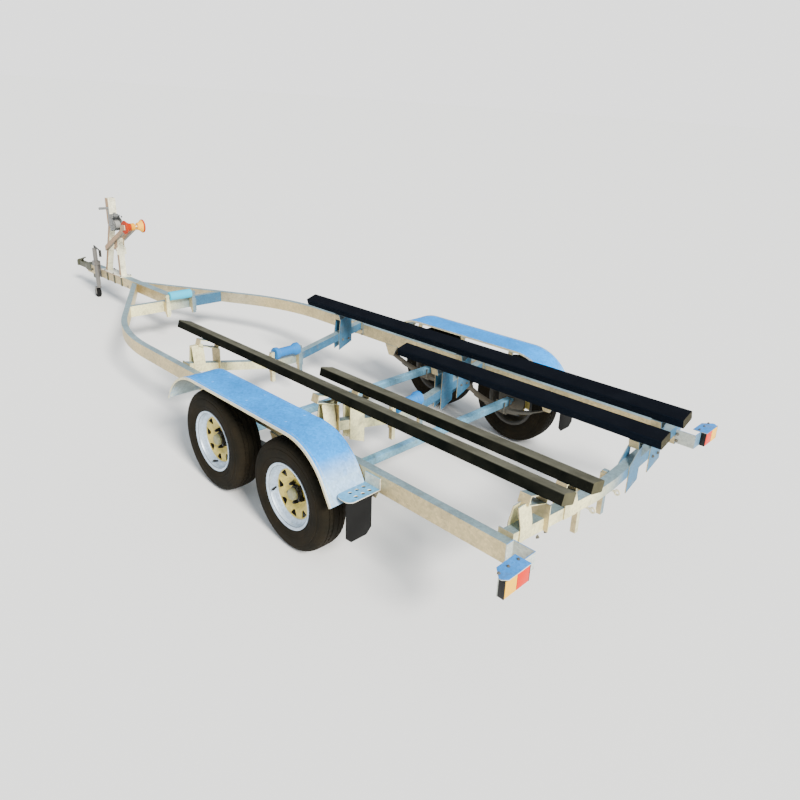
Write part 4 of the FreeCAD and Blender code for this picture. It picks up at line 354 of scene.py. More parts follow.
def grain_group():
    """Fine grain over a colour with soft dusty patches."""
    group, given, end = new_group("grain", {
        "Place": NOWHERE, "Colour": GREY, "Dust": GREY, "Fine": 400.0, "Amount": 0.5,
    }, {"Colour": GREY, "Height": 0.0})
    fine = add(group, "ShaderNodeTexNoise", {"Vector": given["Place"], "Scale": given["Fine"]})
    patch = ranged(group, noise(group, given["Place"], 7.0, 5.0), 0.35, 0.7)
    dusty = mix_colour(group, multiply(group, patch, given["Amount"]), given["Colour"],
                       given["Dust"])
    feed(group, end.inputs["Colour"], dusty)
    feed(group, end.inputs["Height"], fine.outputs["Fac"])


def new_material(name):
    material = bpy.data.materials.new(name)
    material.use_nodes = True
    tree = material.node_tree
    return material, tree, tree.nodes["Principled BSDF"]


def use_group(tree, name, values):
    """Places a shader group on an object's own coordinates."""
    item = add(tree, "ShaderNodeGroup", node_tree=bpy.data.node_groups[name])
    place = add(tree, "ShaderNodeTexCoord").outputs
    for key, value in {"Place": place["Object"], **values}.items():
        feed(tree, item.inputs[key], value)
    return item.outputs


def coated(name, group, colour, values, metallic, shine, strength, depth, roughness=None):
    """A group's surface in one colour, a named setting's colour or five, one for each side, which
    paint light and shade by facing.
    """
    material, tree, shader = new_material(name)
    if isinstance(colour, str):
        colour = tuple(getattr(bpy.context.scene.trailer_colours, colour))
    if len(colour) == 5:
        # The five colours are painted light and shade, picked by the way each face turns.
        labels = ("Side", "Rear", "Far", "Top", "Low")
        facing_out = add(tree, "ShaderNodeTexCoord").outputs["Normal"]
        colours = {"Facing": facing_out, **dict(zip(labels, colour))}
        colour = use_group(tree, "by_side", colours)["Colour"]
    made = use_group(tree, group, {"Colour": colour, **values})
    bump = add(tree, "ShaderNodeBump", {"Strength": strength, "Distance": depth,
                                        "Height": made["Height"]})
    for key, value in (
            ("Base Color", made["Colour"]), ("Roughness", roughness or made["Roughness"]),
            ("Metallic", metallic), ("Specular IOR Level", shine),
            ("Normal", bump.outputs["Normal"])):
        feed(tree, shader.inputs[key], value)
    return material


# Underside colours: painted shade under the zinc and under the carpet.
PAINTED_SHADE_UNDER = (0.12, 0.11, 0.085)
CLOTH_PAINTED_SHADE_UNDER = (0.003, 0.003, 0.003)
STAIN = (0.2, 0.17, 0.12)
ZINCS = (
    # finish, material, metallic, stain and reflection, shine, one colour or side, rear, far rear,
    # top and low
    # Galvanised zinc: warm painted light on the sides, painted sunlight on the rear, painted
    # shade on the far rear, painted sky reflection on top, painted shade underneath.
    ("zinc", "galvanised", 0.4, STAIN, 0.5, (
        (0.6, 0.48, 0.25), (0.98, 0.92, 0.52), (0.05, 0.17, 0.3), (0.26, 0.37, 0.41), PAINTED_SHADE_UNDER)),
    # Post zinc: painted shade on the sides, painted sunlight on the rear, far rear and top,
    # painted shade underneath.
    ("post", "post_zinc", 0.2, STAIN, 0.5, (
        (0.4, 0.24, 0.12), (1.0, 0.96, 0.72), (1.0, 0.95, 0.66), (0.8, 0.8, 0.7), PAINTED_SHADE_UNDER)),
    # Mudguard zinc: warm painted light on the sides, pale painted sunlight on the rear, painted
    # sky reflection on the top and far rear and in the blue stain patches, painted shade
    # underneath.
    ("guard", "guard_zinc", 0.0, (0.0, 0.22, 0.7), 0.1, (
        (0.8, 0.72, 0.46), (0.72, 0.9, 0.92), (0.3, 0.62, 0.85), (0.0, 0.3, 0.88),
        (0.16, 0.15, 0.12))),
    # Lamp bracket zinc: the blue top is painted sky reflection, with painted shade on the far
    # rear and underneath.
    ("blue_zinc", "blue_zinc", 0.2, STAIN, 0.5, (
        (0.5, 0.52, 0.46), (0.6, 0.66, 0.62), (0.12, 0.24, 0.36), (0.03, 0.27, 0.75), PAINTED_SHADE_UNDER)),
    # Step zinc: painted light by facing, with painted sky reflection on top and painted shade
    # underneath.
    ("step", "step_zinc", 0.2, STAIN, 0.5, (
        (0.72, 0.68, 0.52), (0.85, 0.84, 0.72), (0.2, 0.34, 0.44), (0.14, 0.46, 0.75), PAINTED_SHADE_UNDER)),
    # Outer rim barrel: its blue-grey colour is painted sky reflection.
    ("barrel", "rim_zinc", 0.4, (0.32, 0.37, 0.46), 0.5, (0.56, 0.68, 0.82)),
    # Inboard rim well: a near-black copy of the rim zinc, painted shade.
    ("shade", "well_zinc", 0.2, (0.03, 0.025, 0.02), 0.5, (0.045, 0.042, 0.036)),
    # Wheel disc: zinc warmed to tan, painted warm light.
    ("disc", "disc_zinc", 0.2, (0.46, 0.36, 0.1), 0.5, "disc"),
    # Axle zinc: painted light by facing, with painted sky reflection on top and painted shade
    # underneath.
    ("axle", "axle_zinc", 0.4, STAIN, 0.5, (
        (0.24, 0.38, 0.42), (0.2, 0.42, 0.55), (0.16, 0.38, 0.55), (0.22, 0.52, 0.75),
        (0.06, 0.06, 0.06))),
)
EVEN = (400.0, 0.5, 0.0005)  # scale of the grain, amount of dust, depth of the grain
CLOTH = (700.0, 0.5, 0.002)
GRAINS = (
    # finish, material, colour, dust, roughness, metallic, bump, shine, grain unless even
    ("jockey", "jockey_zinc", (0.13, 0.125, 0.12), (0.2, 0.185, 0.16), 0.4, 0.3, 0.2, 0.5),
    ("dull", "dull_steel", (0.1, 0.095, 0.08), (0.16, 0.12, 0.07), 0.55, 0.4, 0.3, 0.5),
    ("dark", "dark_steel", (0.02, 0.02, 0.02), (0.06, 0.05, 0.04), 0.5, 0.2, 0.2, 0.3),
    ("olive", "olive_steel", (0.05, 0.052, 0.026), (0.11, 0.1, 0.055), 0.5, 0.2, 0.3, 0.5),
    ("winch", "winch_steel", (0.17, 0.18, 0.185), (0.28, 0.27, 0.24), 0.42, 0.4, 0.2, 0.5),
    # Carpet: painted light by facing, with painted shade on the sides and underneath and painted
    # sunlight on the rear ends and top.
    ("carpet", "carpet", (
        (0.003, 0.004, 0.003), (0.105, 0.098, 0.058), (0.06, 0.06, 0.045),
        (0.115, 0.112, 0.084), CLOTH_PAINTED_SHADE_UNDER), (0.02, 0.02, 0.014), 1.0, 0.0, 0.9, 0.05, CLOTH),
    # Right-hand bunks: a darker, bluish copy of the carpet, colours and dust included, painted
    # shade.
    ("far_carpet", "far_carpet", (
        (0.004, 0.007, 0.013), (0.045, 0.045, 0.036), (0.05, 0.046, 0.03),
        (0.003, 0.004, 0.007), CLOTH_PAINTED_SHADE_UNDER), (0.006, 0.008, 0.012), 1.0, 0.0, 0.9, 0.05, CLOTH),
    ("tyre", "tyre_rubber", "tyre", (0.02, 0.014, 0.007), 0.85, 0.0, 0.7, 0.12,
     (300.0, 0.7, 0.0005)),
    ("rubber", "black_rubber", (0.007, 0.007, 0.007), (0.014, 0.014, 0.014), 0.75, 0.0, 0.5, 0.1),
    ("plastic", "black_plastic", (0.006, 0.006, 0.006), (0.014, 0.013, 0.012), 0.45, 0.0, 0.15,
     0.25),
    ("blue", "blue_roller", "keel", (0.02, 0.24, 0.58), 0.5, 0.0, 0.15, 0.3),
    ("cyan", "pale_blue_roller", "front_keel", (0.05, 0.52, 0.74), 0.5, 0.0, 0.15, 0.1),
    ("orange", "orange_roller", "bow", (0.48, 0.04, 0.005), 0.5, 0.0, 0.1, 0.1),
    ("yellow", "yellow_roller", "bow_core", (0.8, 0.38, 0.01), 0.5, 0.0, 0.1, 0.1),
    ("pale_yellow", "pale_yellow_roller", (1.0, 0.5, 0.03), (1.0, 0.55, 0.06), 0.5, 0.0, 0.1,
     0.1),
    # Cream stands for sunlit zinc: painted sunlight on the guards' edge rolls and the prop
    # screws.
    ("cream", "cream_edge", (0.86, 0.8, 0.56), (0.62, 0.56, 0.38), 0.5, 0.2, 0.2, 0.5),
    ("red", "red_lens", "red", (0.72, 0.03, 0.01), 0.35, 0.0, 0.05, 0.1),
    ("amber", "amber_lens", "amber", (0.95, 0.53, 0.03), 0.35, 0.0, 0.05, 0.1),
    ("strap", "webbing", (0.22, 0.22, 0.21), (0.32, 0.31, 0.28), 0.85, 0.0, 0.5, 0.5,
     (900.0, 0.5, 0.001)),
    ("olive_cap", "cap_steel", (0.24, 0.24, 0.13), (0.34, 0.32, 0.18), 0.45, 0.2, 0.2, 0.5),
    ("fixing", "fixing_steel", (0.1, 0.095, 0.08), (0.3, 0.27, 0.2), 0.5, 0.4, 0.2, 0.5),
)


FINISHES = {}


def make_finishes():
    """Every finish by name."""
    side_group()
    zinc_group()
    grain_group()
    for finish, name, metallic, stain_and_reflection, shine, colour in ZINCS:
        FINISHES[finish] = coated(name, "zinc_spangle", colour, {"Stain": stain_and_reflection}, metallic,
                                  shine, 0.25, 0.0004)
    for finish, name, colour, dust, roughness, metallic, strength, shine, *grain in GRAINS:
        fine, amount, depth = grain[0] if grain else EVEN
        values = {"Dust": dust, "Fine": fine, "Amount": amount}
        FINISHES[finish] = coated(name, "grain", colour, values, metallic, shine, strength,
                                  depth, roughness)


CAD_FINISHES = {
    # finish: starts of its nodes' names, where a longer start goes before a shorter one
    "zinc": ("rail_", "drawbar", "cross_member", "keel_supports", "rear_props",
             "bunk_brackets", "spring_hangers", "guard_stays"),
    "guard": ("mudguard",), "step": ("step_",), "post": ("winch_post", "bow_roller_bracket"),
    "blue_zinc": ("lamp_brackets",), "barrel": ("rim_",), "axle": ("axle_",),
    "carpet": ("bunk_",), "far_carpet": ("bunk_inner_right", "bunk_outer_right"),
    "tyre": ("tyre_",), "dull": ("hub_", "brake_", "leaf_", "spring_rockers"),
    "rubber": ("mud_flaps", "jockey_wheel"), "plastic": ("lamp_",),
    "olive": ("coupling_", "chain_tab", "post_straps"), "winch": ("winch_",),
    "jockey": ("jockey_",), "dark": ("jockey_crank",), "orange": ("bow_roller",),
    "blue": ("keel_roller",), "cyan": ("keel_roller_front",),
}


def turned(name, finish, body, slot, at, out, profile, steps, stands_for=()):
    """A piece spun from a closed profile."""
    piece = Piece()
    piece.spun(at, out, profile, steps)
    return piece.finish(name, finish, body, slot, stands_for)


# settings
class TrailerColours(bpy.types.PropertyGroup):
    """Colours of the rubber, wheel discs, rollers and lenses."""
    tyre: FloatVectorProperty(
        name="Tyres", description="Tyre rubber", subtype="COLOR", default=(0.008, 0.007, 0.004),
        min=0, max=1)
    # The disc colour's warm tan is painted warm light on the zinc.
    disc: FloatVectorProperty(
        name="Wheel discs", description="Disc of each wheel", subtype="COLOR",
        default=(0.7, 0.55, 0.12), min=0, max=1)
    keel: FloatVectorProperty(
        name="Keel rollers", description="Second and mid keel rollers", subtype="COLOR",
        default=(0.006, 0.17, 0.52), min=0, max=1)
    front_keel: FloatVectorProperty(
        name="Front keel roller", description="Front keel roller", subtype="COLOR",
        default=(0.01, 0.45, 0.7), min=0, max=1)
    bow: FloatVectorProperty(
        name="Bow roller", description="Ends of the bow roller", subtype="COLOR",
        default=(0.42, 0.028, 0.002), min=0, max=1)
    bow_core: FloatVectorProperty(
        name="Bow roller core", description="Waist of the bow roller", subtype="COLOR",
        default=(0.78, 0.34, 0.002), min=0, max=1)
    red: FloatVectorProperty(
        name="Red lens", description="Red half of a tail lamp", subtype="COLOR",
        default=(0.7, 0.02, 0.002), min=0, max=1)
    amber: FloatVectorProperty(
        name="Amber lens", description="Amber half of a tail lamp", subtype="COLOR",
        default=(0.95, 0.5, 0.01), min=0, max=1)


class TrailerTyre(bpy.types.PropertyGroup):
    """Sizes of the tread."""
    pitches: IntProperty(
        name="Tread pitches", description="Tread blocks round a tyre", default=56, min=12, max=90)
    groove: FloatProperty(
        name="Groove depth", description="Depth of the tread grooves", default=0.006, min=0.001,
        max=0.012, unit="LENGTH")
    groove_width: FloatProperty(
        name="Groove width", description="Width of the grooves round", default=0.006, min=0.002,
        max=0.012, unit="LENGTH")


class TrailerRim(bpy.types.PropertyGroup):
    """Sizes of the wheel disc."""
    windows: IntProperty(
        name="Windows", description="Openings in the wheel disc", default=8, min=4, max=12)
    low: FloatProperty(
        name="Window foot", description="Radius of the windows' narrow ends", default=0.103,
        min=0.09, max=0.12, unit="LENGTH")
    high: FloatProperty(
        name="Window head", description="Radius of the windows' wide ends", default=0.144,
        min=0.12, max=0.146, unit="LENGTH")
    sheet: FloatProperty(
        name="Disc sheet", description="Thickness of the disc", default=0.005, min=0.002,
        max=0.008, unit="LENGTH")


class TrailerFixings(bpy.types.PropertyGroup):
    """Sizes of bolts and nuts."""
    bolt: FloatProperty(
        name="Bolt size", description="Half width of a structural bolt head", default=0.01,
        min=0.004, max=0.02, unit="LENGTH")
    small_bolt: FloatProperty(
        name="Small bolt size", description="Half width of a trim bolt", default=0.007, min=0.003,
        max=0.015, unit="LENGTH")
    wheel_circle: FloatProperty(
        name="Wheel nut circle", description="Radius of the nut circle", default=0.057, min=0.04,
        max=0.08, unit="LENGTH")
    wheel_nuts: IntProperty(
        name="Wheel nuts", description="Nuts on each wheel", default=5, min=3, max=8)


class TrailerRoller(bpy.types.PropertyGroup):
    """Sizes of the ribbed rollers."""
    rib_pitch: FloatProperty(
        name="Rib pitch", description="Spacing of the roller ribs", default=0.012, min=0.004,
        max=0.03, unit="LENGTH")
    rib_height: FloatProperty(
        name="Rib height", description="Height of the roller ribs", default=0.003, min=0.001,
        max=0.006, unit="LENGTH")


class TrailerStage(bpy.types.PropertyGroup):
    """Camera, floor and light."""
    camera_place: FloatVectorProperty(
        name="Camera", description="Camera place in the frame",
        default=(-4.72985, 2.93617, 2.39418), size=3, subtype="TRANSLATION", unit="LENGTH")
    heading: FloatProperty(
        name="Heading", description="Camera heading from forward to the left", default=-0.80391,
        subtype="ANGLE", unit="ROTATION")
    pitch: FloatProperty(
        name="Pitch", description="How far the camera looks down", default=0.38816,
        subtype="ANGLE", unit="ROTATION")
    roll: FloatProperty(
        name="Roll", description="Camera roll", default=0.07067, subtype="ANGLE", unit="ROTATION")
    lens: FloatProperty(
        name="Lens", description="Focal length on a 36 mm sensor", default=29.541, min=10,
        max=200)
    floor: FloatProperty(
        name="Floor size", description="Half width of the floor", default=400.0, min=10, max=1000,
        unit="LENGTH")
    horizon: FloatProperty(
        name="Backdrop", description="Brightness of the backdrop", default=2.0, min=0, max=10)
    key: FloatProperty(
        name="Key light", description="Strength of the warm light from behind", default=8.0,
        min=0, max=30)
    key_turn: FloatProperty(
        name="Key light turn", description="Key light's turn to the left",
        default=math.radians(12), subtype="ANGLE", unit="ROTATION")
    key_height: FloatProperty(
        name="Key light height", description="Key light above the floor",
        default=math.radians(38), subtype="ANGLE", unit="ROTATION")
    softness: FloatProperty(
        name="Softness", description="Angle that the key light spans", default=math.radians(16),
        subtype="ANGLE", unit="ROTATION")
    sky: FloatProperty(
        name="Sky light", description="Strength of the light all round", default=0.8, min=0,
        max=10)


class TRAILER_OT_finishes(bpy.types.Operator):
    """Make the finishes and give one to each CAD piece"""
    bl_idname = "trailer.finishes"
    bl_label = "Finishes"

    def execute(self, context):
        make_finishes()
        finishes = {start: key for key, starts in CAD_FINISHES.items() for start in starts}
        for name, item in frame["nodes"].items():
            start = max((start for start in finishes if name.startswith(start)), key=len)
            item.data.materials.clear()
            item.data.materials.append(FINISHES[finishes[start]])
        return {"FINISHED"}


class TRAILER_OT_tyres(bpy.types.Operator):
    """Four tyres with ribs, grooves and sidewall rings"""
    bl_idname = "trailer.tyres"
    bl_label = "Tyres"

    def execute(self, context):
        sizes = context.scene.trailer_tyre
        for place in WHEELS:
            node = "tyre_" + place
            centre, radius, half = round_node(node)
            piece = Piece()
            steps = sizes.pitches * 4
            verts = piece.spun(centre, (0, 1, 0), self.profile(sizes, radius, half), steps)
            self.cut_blocks(sizes, verts, centre, radius, steps)
            piece.finish(node + "_look", "tyre", "wheel_" + place, "tyre_rubber", (node,))
        return {"FINISHED"}

    def profile(self, sizes, radius, half):
        """Closed section: tread ribs, shoulders, ringed sidewalls and the bead."""
        deep = radius - sizes.groove
        gap = sizes.groove_width / 2
        right = [(radius, 0.0), (radius, 0.018 - gap)]
        for groove, edge in ((0.018, radius - 0.0005), (0.045, radius - 0.0022)):
            right += [(deep, groove - gap + 0.001), (deep, groove + gap - 0.001),
                      (edge, groove + gap)]
            if groove < 0.04:
                right.append((edge, 0.045 - gap))
        right += [
            (radius - 0.004, 0.06), (radius - 0.008, 0.07), (radius - 0.016, 0.0785),
            (radius - 0.026, 0.0845), (radius - 0.03, 0.0845), (radius - 0.032, 0.087),
            (radius - 0.046, half - 0.0045), (radius - 0.05, half - 0.0055),
            (radius - 0.054, half - 0.0015), (radius - 0.072, half),
            (radius - 0.094, half - 0.002), (radius - 0.098, half - 0.0042),
            (radius - 0.102, half - 0.003), (radius - 0.118, half - 0.0085),
            (radius - 0.128, half - 0.0135), (radius - 0.133, 0.0775), (radius - 0.151, 0.0765),
        ]
        bottom = [(0.178, 0.066), (0.196, 0.066), (0.24, 0.074), (radius - 0.03, 0.06),
                  (radius - 0.018, 0.0)]
        outer = right + bottom
        mirrored = [(r, -h) for r, h in reversed(outer[1:-1])]
        return outer + mirrored

    def cut_blocks(self, sizes, verts, centre, radius, steps):
        """Sink every fourth row of the shoulder and middle ribs."""
        for vert in verts:
            offset = vert.co - centre
            out = math.hypot(offset.x, offset.z)
            across = abs(offset.y)
            if out < radius - 0.012 or across > 0.074:
                continue
            turn = math.atan2(offset.z, offset.x) / math.tau * steps
            row = round(turn + (1 if offset.y > 0.03 else 0) + (2 if offset.y < -0.03 else 0)) % 4
            if row == 0 and across > 0.02:
                scale = (radius - sizes.groove * 0.8) / out if out > radius - 0.0045 else 0.985
                vert.co.x = centre.x + offset.x * scale
                vert.co.z = centre.z + offset.z * scale


BARREL_OUTSIDE = (
    # radius, along from the wheel's middle plane towards the outside
    (0.196, 0.0775), (0.196, 0.083), (0.189, 0.083), (0.183, 0.0805), (0.1785, 0.0755),
    (0.1755, 0.069), (0.175, 0.061), (0.173, 0.0585), (0.173, 0.052), (0.17, 0.049),
    (0.158, 0.043), (0.15, 0.04), (0.148, 0.036), (0.148, 0.033), (0.1535, 0.033),
    (0.163, 0.039), (0.178, 0.048), (0.178, 0.07), (0.184, 0.0765),
)
BARREL_INSIDE = (
    (0.148, 0.033), (0.1475, -0.006), (0.152, -0.013),
    (0.168, -0.04), (0.172, -0.046), (0.172, -0.076), (0.18, -0.083), (0.196, -0.083),
    (0.196, -0.077), (0.184, -0.077), (0.178, -0.072), (0.178, -0.044), (0.172, -0.036),
    (0.154, -0.01), (0.1535, 0.033),
)
DISC_INSIDE = (
    (0.0345, 0.004), (0.066, 0.004), (0.076, 0.007), (0.086, 0.017), (0.095, 0.0235),
)
DISC_OUTSIDE = ((0.1485, 0.0355), (0.15, 0.034))
WINDOW_STEPS = 10
WINDOW_FACES = 6
WINDOW_TAPER = 0.35
HUB = (
    (0.021, -0.065), (0.118, -0.065), (0.118, -0.053), (0.052, -0.053), (0.052, -0.01),
    (0.072, -0.01), (0.072, 0.003), (0.034, 0.003), (0.034, 0.033), (0.021, 0.033),
)


class TRAILER_OT_rims(bpy.types.Operator):
    """Stepped rim barrels with dished, windowed discs, and the hubs inside them"""
    bl_idname = "trailer.rims"
    bl_label = "Rims and hubs"

    def execute(self, context):
        sizes = context.scene.trailer_rim
        for place in WHEELS:
            centre, out, body = wheel_place(place)
            # The outer barrel carries painted sky reflection; the inboard well is a dark copy of
            # the same zinc, painted shade.
            for name, finish, profile in (("rim_barrel_", "barrel", BARREL_OUTSIDE),
                                          ("rim_well_", "shade", BARREL_INSIDE)):
                made = turned(name + place, finish, body, "wheel_steel", centre, out, profile,
                              96)
                if finish == "barrel":
                    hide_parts("rim_" + place)
            # The disc's warm tan finish is painted warm light.
            disc = Piece()
            self.disc(disc, sizes, centre, out)
            disc.finish("rim_disc_" + place, "disc", body, "wheel_steel")
            turned("hub_body_" + place, "dull", body, "hub_iron", centre, out, HUB, 64,
                   ("hub_" + place,))
        return {"FINISHED"}

    def disc(self, piece, sizes, centre, out):
        steps = sizes.windows * WINDOW_STEPS
        ring = ((sizes.low, 0.0275), (sizes.high, 0.035))
        piece.spun(centre, out, DISC_INSIDE + ring + DISC_OUTSIDE, steps, False)
        mesh = piece.mesh
        bmesh.ops.remove_doubles(mesh, verts=mesh.verts, dist=1e-6)
        back = piece.seat(centre, out).inverted()
        pitch = math.tau / sizes.windows
        middle_radius = (sizes.low + sizes.high) / 2
        groups = {}
        for face in mesh.faces:
            spot = back @ face.calc_center_median()
            if abs(math.hypot(spot.x, spot.y) - middle_radius) > 0.008:
                continue
            turn = math.atan2(spot.y, spot.x) / pitch
            if abs(turn - round(turn)) * WINDOW_STEPS < WINDOW_FACES / 2:
                groups.setdefault(round(turn) % sizes.windows, []).append(face)
        self.draw_in(groups, back, sizes, pitch)
        for faces in groups.values():
            face = bmesh.utils.face_join(faces)
            long = [edge for edge in face.edges if edge.calc_length() > 0.02]
            bmesh.ops.bisect_edges(mesh, edges=long, cuts=5)
            bmesh.ops.inset_region(mesh, faces=[face], thickness=0.0035,
                                   use_even_offset=True)
            for _ in range(3):
                bmesh.ops.smooth_vert(mesh, verts=list(face.verts), factor=0.45,
                                      use_axis_x=True, use_axis_y=False, use_axis_z=True)
            bmesh.ops.delete(mesh, geom=[face], context="FACES")
        bmesh.ops.recalc_face_normals(mesh, faces=mesh.faces)
        bmesh.ops.solidify(mesh, geom=list(mesh.faces), thickness=sizes.sheet)

    def draw_in(self, groups, back, sizes, pitch):
        """Bring each window's narrow end together."""
        ahead = back.inverted()
        for index, faces in groups.items():
            for vert in {vert for face in faces for vert in face.verts}:
                spot = back @ vert.co
                radius = math.hypot(spot.x, spot.y)
                if radius > (sizes.low + sizes.high) / 2:
                    continue
                off = math.atan2(spot.y, spot.x) - index * pitch
                off -= round(off / math.tau) * math.tau
                angle = index * pitch + off * WINDOW_TAPER
                spot.x = radius * math.cos(angle)
                spot.y = radius * math.sin(angle)
                vert.co = ahead @ spot


# way from the middle of a wheel to its valve
VALVES = {"front": (0.05, 0, -1.0), "rear": (0.97, 0, -0.2)}


class TRAILER_OT_wheel_trim(bpy.types.Operator):
    """Wheel nuts, valves and hub caps"""
    bl_idname = "trailer.wheel_trim"
    bl_label = "Wheel trim"

    def execute(self, context):
        sizes = context.scene.trailer_fixings
        for place in WHEELS:
            centre, out, body = wheel_place(place)
            nuts = Piece()
            caps = Piece()
            for index in range(sizes.wheel_nuts):
                angle = math.tau * (index + 0.5) / sizes.wheel_nuts
                ray = Vector((math.sin(angle), 0, math.cos(angle)))
                at = centre + ray * sizes.wheel_circle + out * 0.009
                nuts.cone(at, out, 0.0135, 0.0135, 0.005, 16)
                nuts.cone(at + out * 0.005, out, 0.013, 0.011, 0.017, 6)
                nuts.rod(at + out * 0.022, out, 0.0075, 0.008, 12)
            ray = Vector(VALVES[place.split("_")[0]]).normalized()
            root = centre + ray * 0.16 + out * 0.042
            lean = (out - ray * 0.45).normalized()
            nuts.rod(root, lean, 0.006, 0.02, 12)
            nuts.rod(root + lean * 0.018, lean, 0.0075, 0.016, 12)
            nuts.spun(centre + out * 0.009, out, [
                (0.0342, 0), (0.0465, 0.0), (0.0465, 0.006), (0.0415, 0.01), (0.0415, 0.017),
                (0.0342, 0.019)], 40)
            nuts.finish("wheel_nuts_" + place, "plastic", body, "hub_iron")
            caps.spun(centre + out * 0.032, out, [
                (0.0, 0.0), (0.0335, 0), (0.0355, 0.001), (0.0355, 0.01), (0.0335, 0.013),
                (0.0325, 0.02), (0.027, 0.0262), (0.018, 0.027), (0.016, 0.0262),
                (0.0, 0.0262)], 40, False)
            caps.finish("hub_cap_" + place, "olive_cap", body, "wheel_steel")
        return {"FINISHED"}


class TRAILER_OT_axles(bpy.types.Operator):
    """Square axle beams, stubs, spring clamps and U-bolts"""
    bl_idname = "trailer.axles"
    bl_label = "Axles"

    def execute(self, context):
        for place in ("front", "rear"):
            node = "axle_" + place
            centre = middle(node)
            beam = Piece()
            beam.box(centre, (0.05, 1.885, 0.05), 0.005)
            beam.rod(centre + Vector((0, -1.055, 0)), (0, 1, 0), 0.02, 2.11, 32)
            beam.finish(node + "_beam", "axle", stands_for=(node,))
            clamps = Piece()
            for side, _ in SIDES:
                for along in (-0.036, 0.036):
                    for across in (-0.032, 0.032):
                        foot = centre + Vector((along, side * RAIL_MIDDLE + across, -0.062))
                        clamps.rod(foot, UP, 0.0055, 0.088, 10)
                        clamps.cone(foot + UP * 0.006, UP, 0.01, 0.01, 0.009, 6)
            clamps.finish("axle_clamps_" + place, "fixing")
        return {"FINISHED"}


class TRAILER_OT_rollers(bpy.types.Operator):
    """Ribbed keel rollers and the flared bow roller"""
    bl_idname = "trailer.rollers"
    bl_label = "Rollers"

    def execute(self, context):
        sizes = context.scene.trailer_roller
        for node in ("keel_roller_second", "keel_roller_mid"):
            centre, radius, half = round_node(node)
            outer = [(0.0095, -half)]
            steps = int(round(2 * half / sizes.rib_pitch * 4))
            for index in range(steps + 1):
                along = -half + 2 * half * index / steps
                fall = min(1.0, max(0.0, (half - 0.024 - abs(along)) / 0.03))
                waist = radius - 0.014 * (3 * fall ** 2 - 2 * fall ** 3)
                rib = 0.0 if index % 4 < 2 else sizes.rib_height
                outer.append((waist - rib, along))
            outer.append((0.0095, half))
            turned(node + "_look", "blue", node, "roller_blue", centre, (0, 1, 0), outer, 40,
                   (node,))
        centre, radius, half = round_node("bow_roller")
        parts = (
            # name, finish, profile of (radius, along)
            ("bow_flare_left", "orange", self.flare(radius, half, 1)),
            ("bow_flare_right", "pale_yellow", self.flare(radius - 0.001, half - 0.001, -1)),
            ("bow_rim_right", "orange", [
                (radius - 0.016, -half), (radius - 0.002, -half), (radius, 0.002 - half),
                (radius, 0.012 - half), (radius - 0.004, 0.017 - half),
                (radius - 0.012, 0.017 - half)]),
            ("bow_core", "yellow", [(0.0105, -0.008), (0.033, -0.008), (0.037, -0.004),
                                    (0.037, 0.03), (0.033, 0.034), (0.0105, 0.034)]),
        )
        for name, finish, profile in parts:
            made = turned(name, finish, "bow_roller", "roller_amber", centre, (0, 1, 0),
                          profile, 48)
            if name == "bow_core":
                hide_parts("bow_roller")
        return {"FINISHED"}

    def flare(self, radius, half, side):
        profile = [(0.0105, side * 0.036), (0.036, side * 0.036)]
        for index in range(13):
            part = index / 12
            rib = 0.0022 if index % 3 == 1 else 0.0
            profile.append((0.037 + (radius - 0.037) * part ** 1.7 - rib,
                            side * (0.038 + (half - 0.05) * part)))
        profile += [(radius, side * (half - 0.004)), (radius - 0.004, side * half),
                    (0.022, side * half), (0.0105, side * half)]
        return profile


GUARD_EDGE = 1.146


def guard_path(across, above):
    """Points along the top of a mudguard, from its front end to its rear end."""
    front, rear, top, radius, sweep = 0.545, -0.439, 0.7255, 0.358, math.radians(60)
    out = radius + above
    points = []
    for station, way, skirt in ((front, 1, 0.055), (rear, -1, 0.12)):
        run = []
        for index in range(17):
            angle = sweep * index / 16
            run.append(Vector((station + way * out * math.sin(angle), across,
                               top - radius + out * math.cos(angle))))
        end = run[-1] + Vector((way * math.cos(sweep), 0, -math.sin(sweep))) * (skirt - 0.003)
        run.append(end)
        points = list(reversed(run)) + points if way == 1 else points + run
    return points


class TRAILER_OT_guards(bpy.types.Operator):
    """Rolled beads, edge rolls and bolts of the mudguards"""
    bl_idname = "trailer.guards"
    bl_label = "Mudguard trim"

    def execute(self, context):
        place = chassis_matrix()
        for side, name in SIDES:
            edge = Piece(place)
            edge.tube(guard_path(side * (GUARD_EDGE - 0.0055), -0.0035), 0.0052)
            # The zinc edge roll takes the cream finish: painted sunlight.
            edge.finish("guard_edge_" + name, "cream")
            bead = Piece(place)
            bead.tube(guard_path(side * (GUARD_EDGE - 0.026), -0.0016), 0.0034, 8)
            bead.tube(guard_path(side * 0.905, -0.0016), 0.0028, 8)
            bead.finish("guard_bead_" + name, "guard")
            bolts = Piece(place)
            for station in (0.43, 0.053, -0.33):
                for across in (1.06, 0.935):
                    bolts.cone((station, side * across, 0.7253), UP, 0.008, 0.005, 0.003, 14)
            bolts.finish("guard_bolts_" + name, "guard")
        return {"FINISHED"}


LAMP_LEVEL = 0.52275


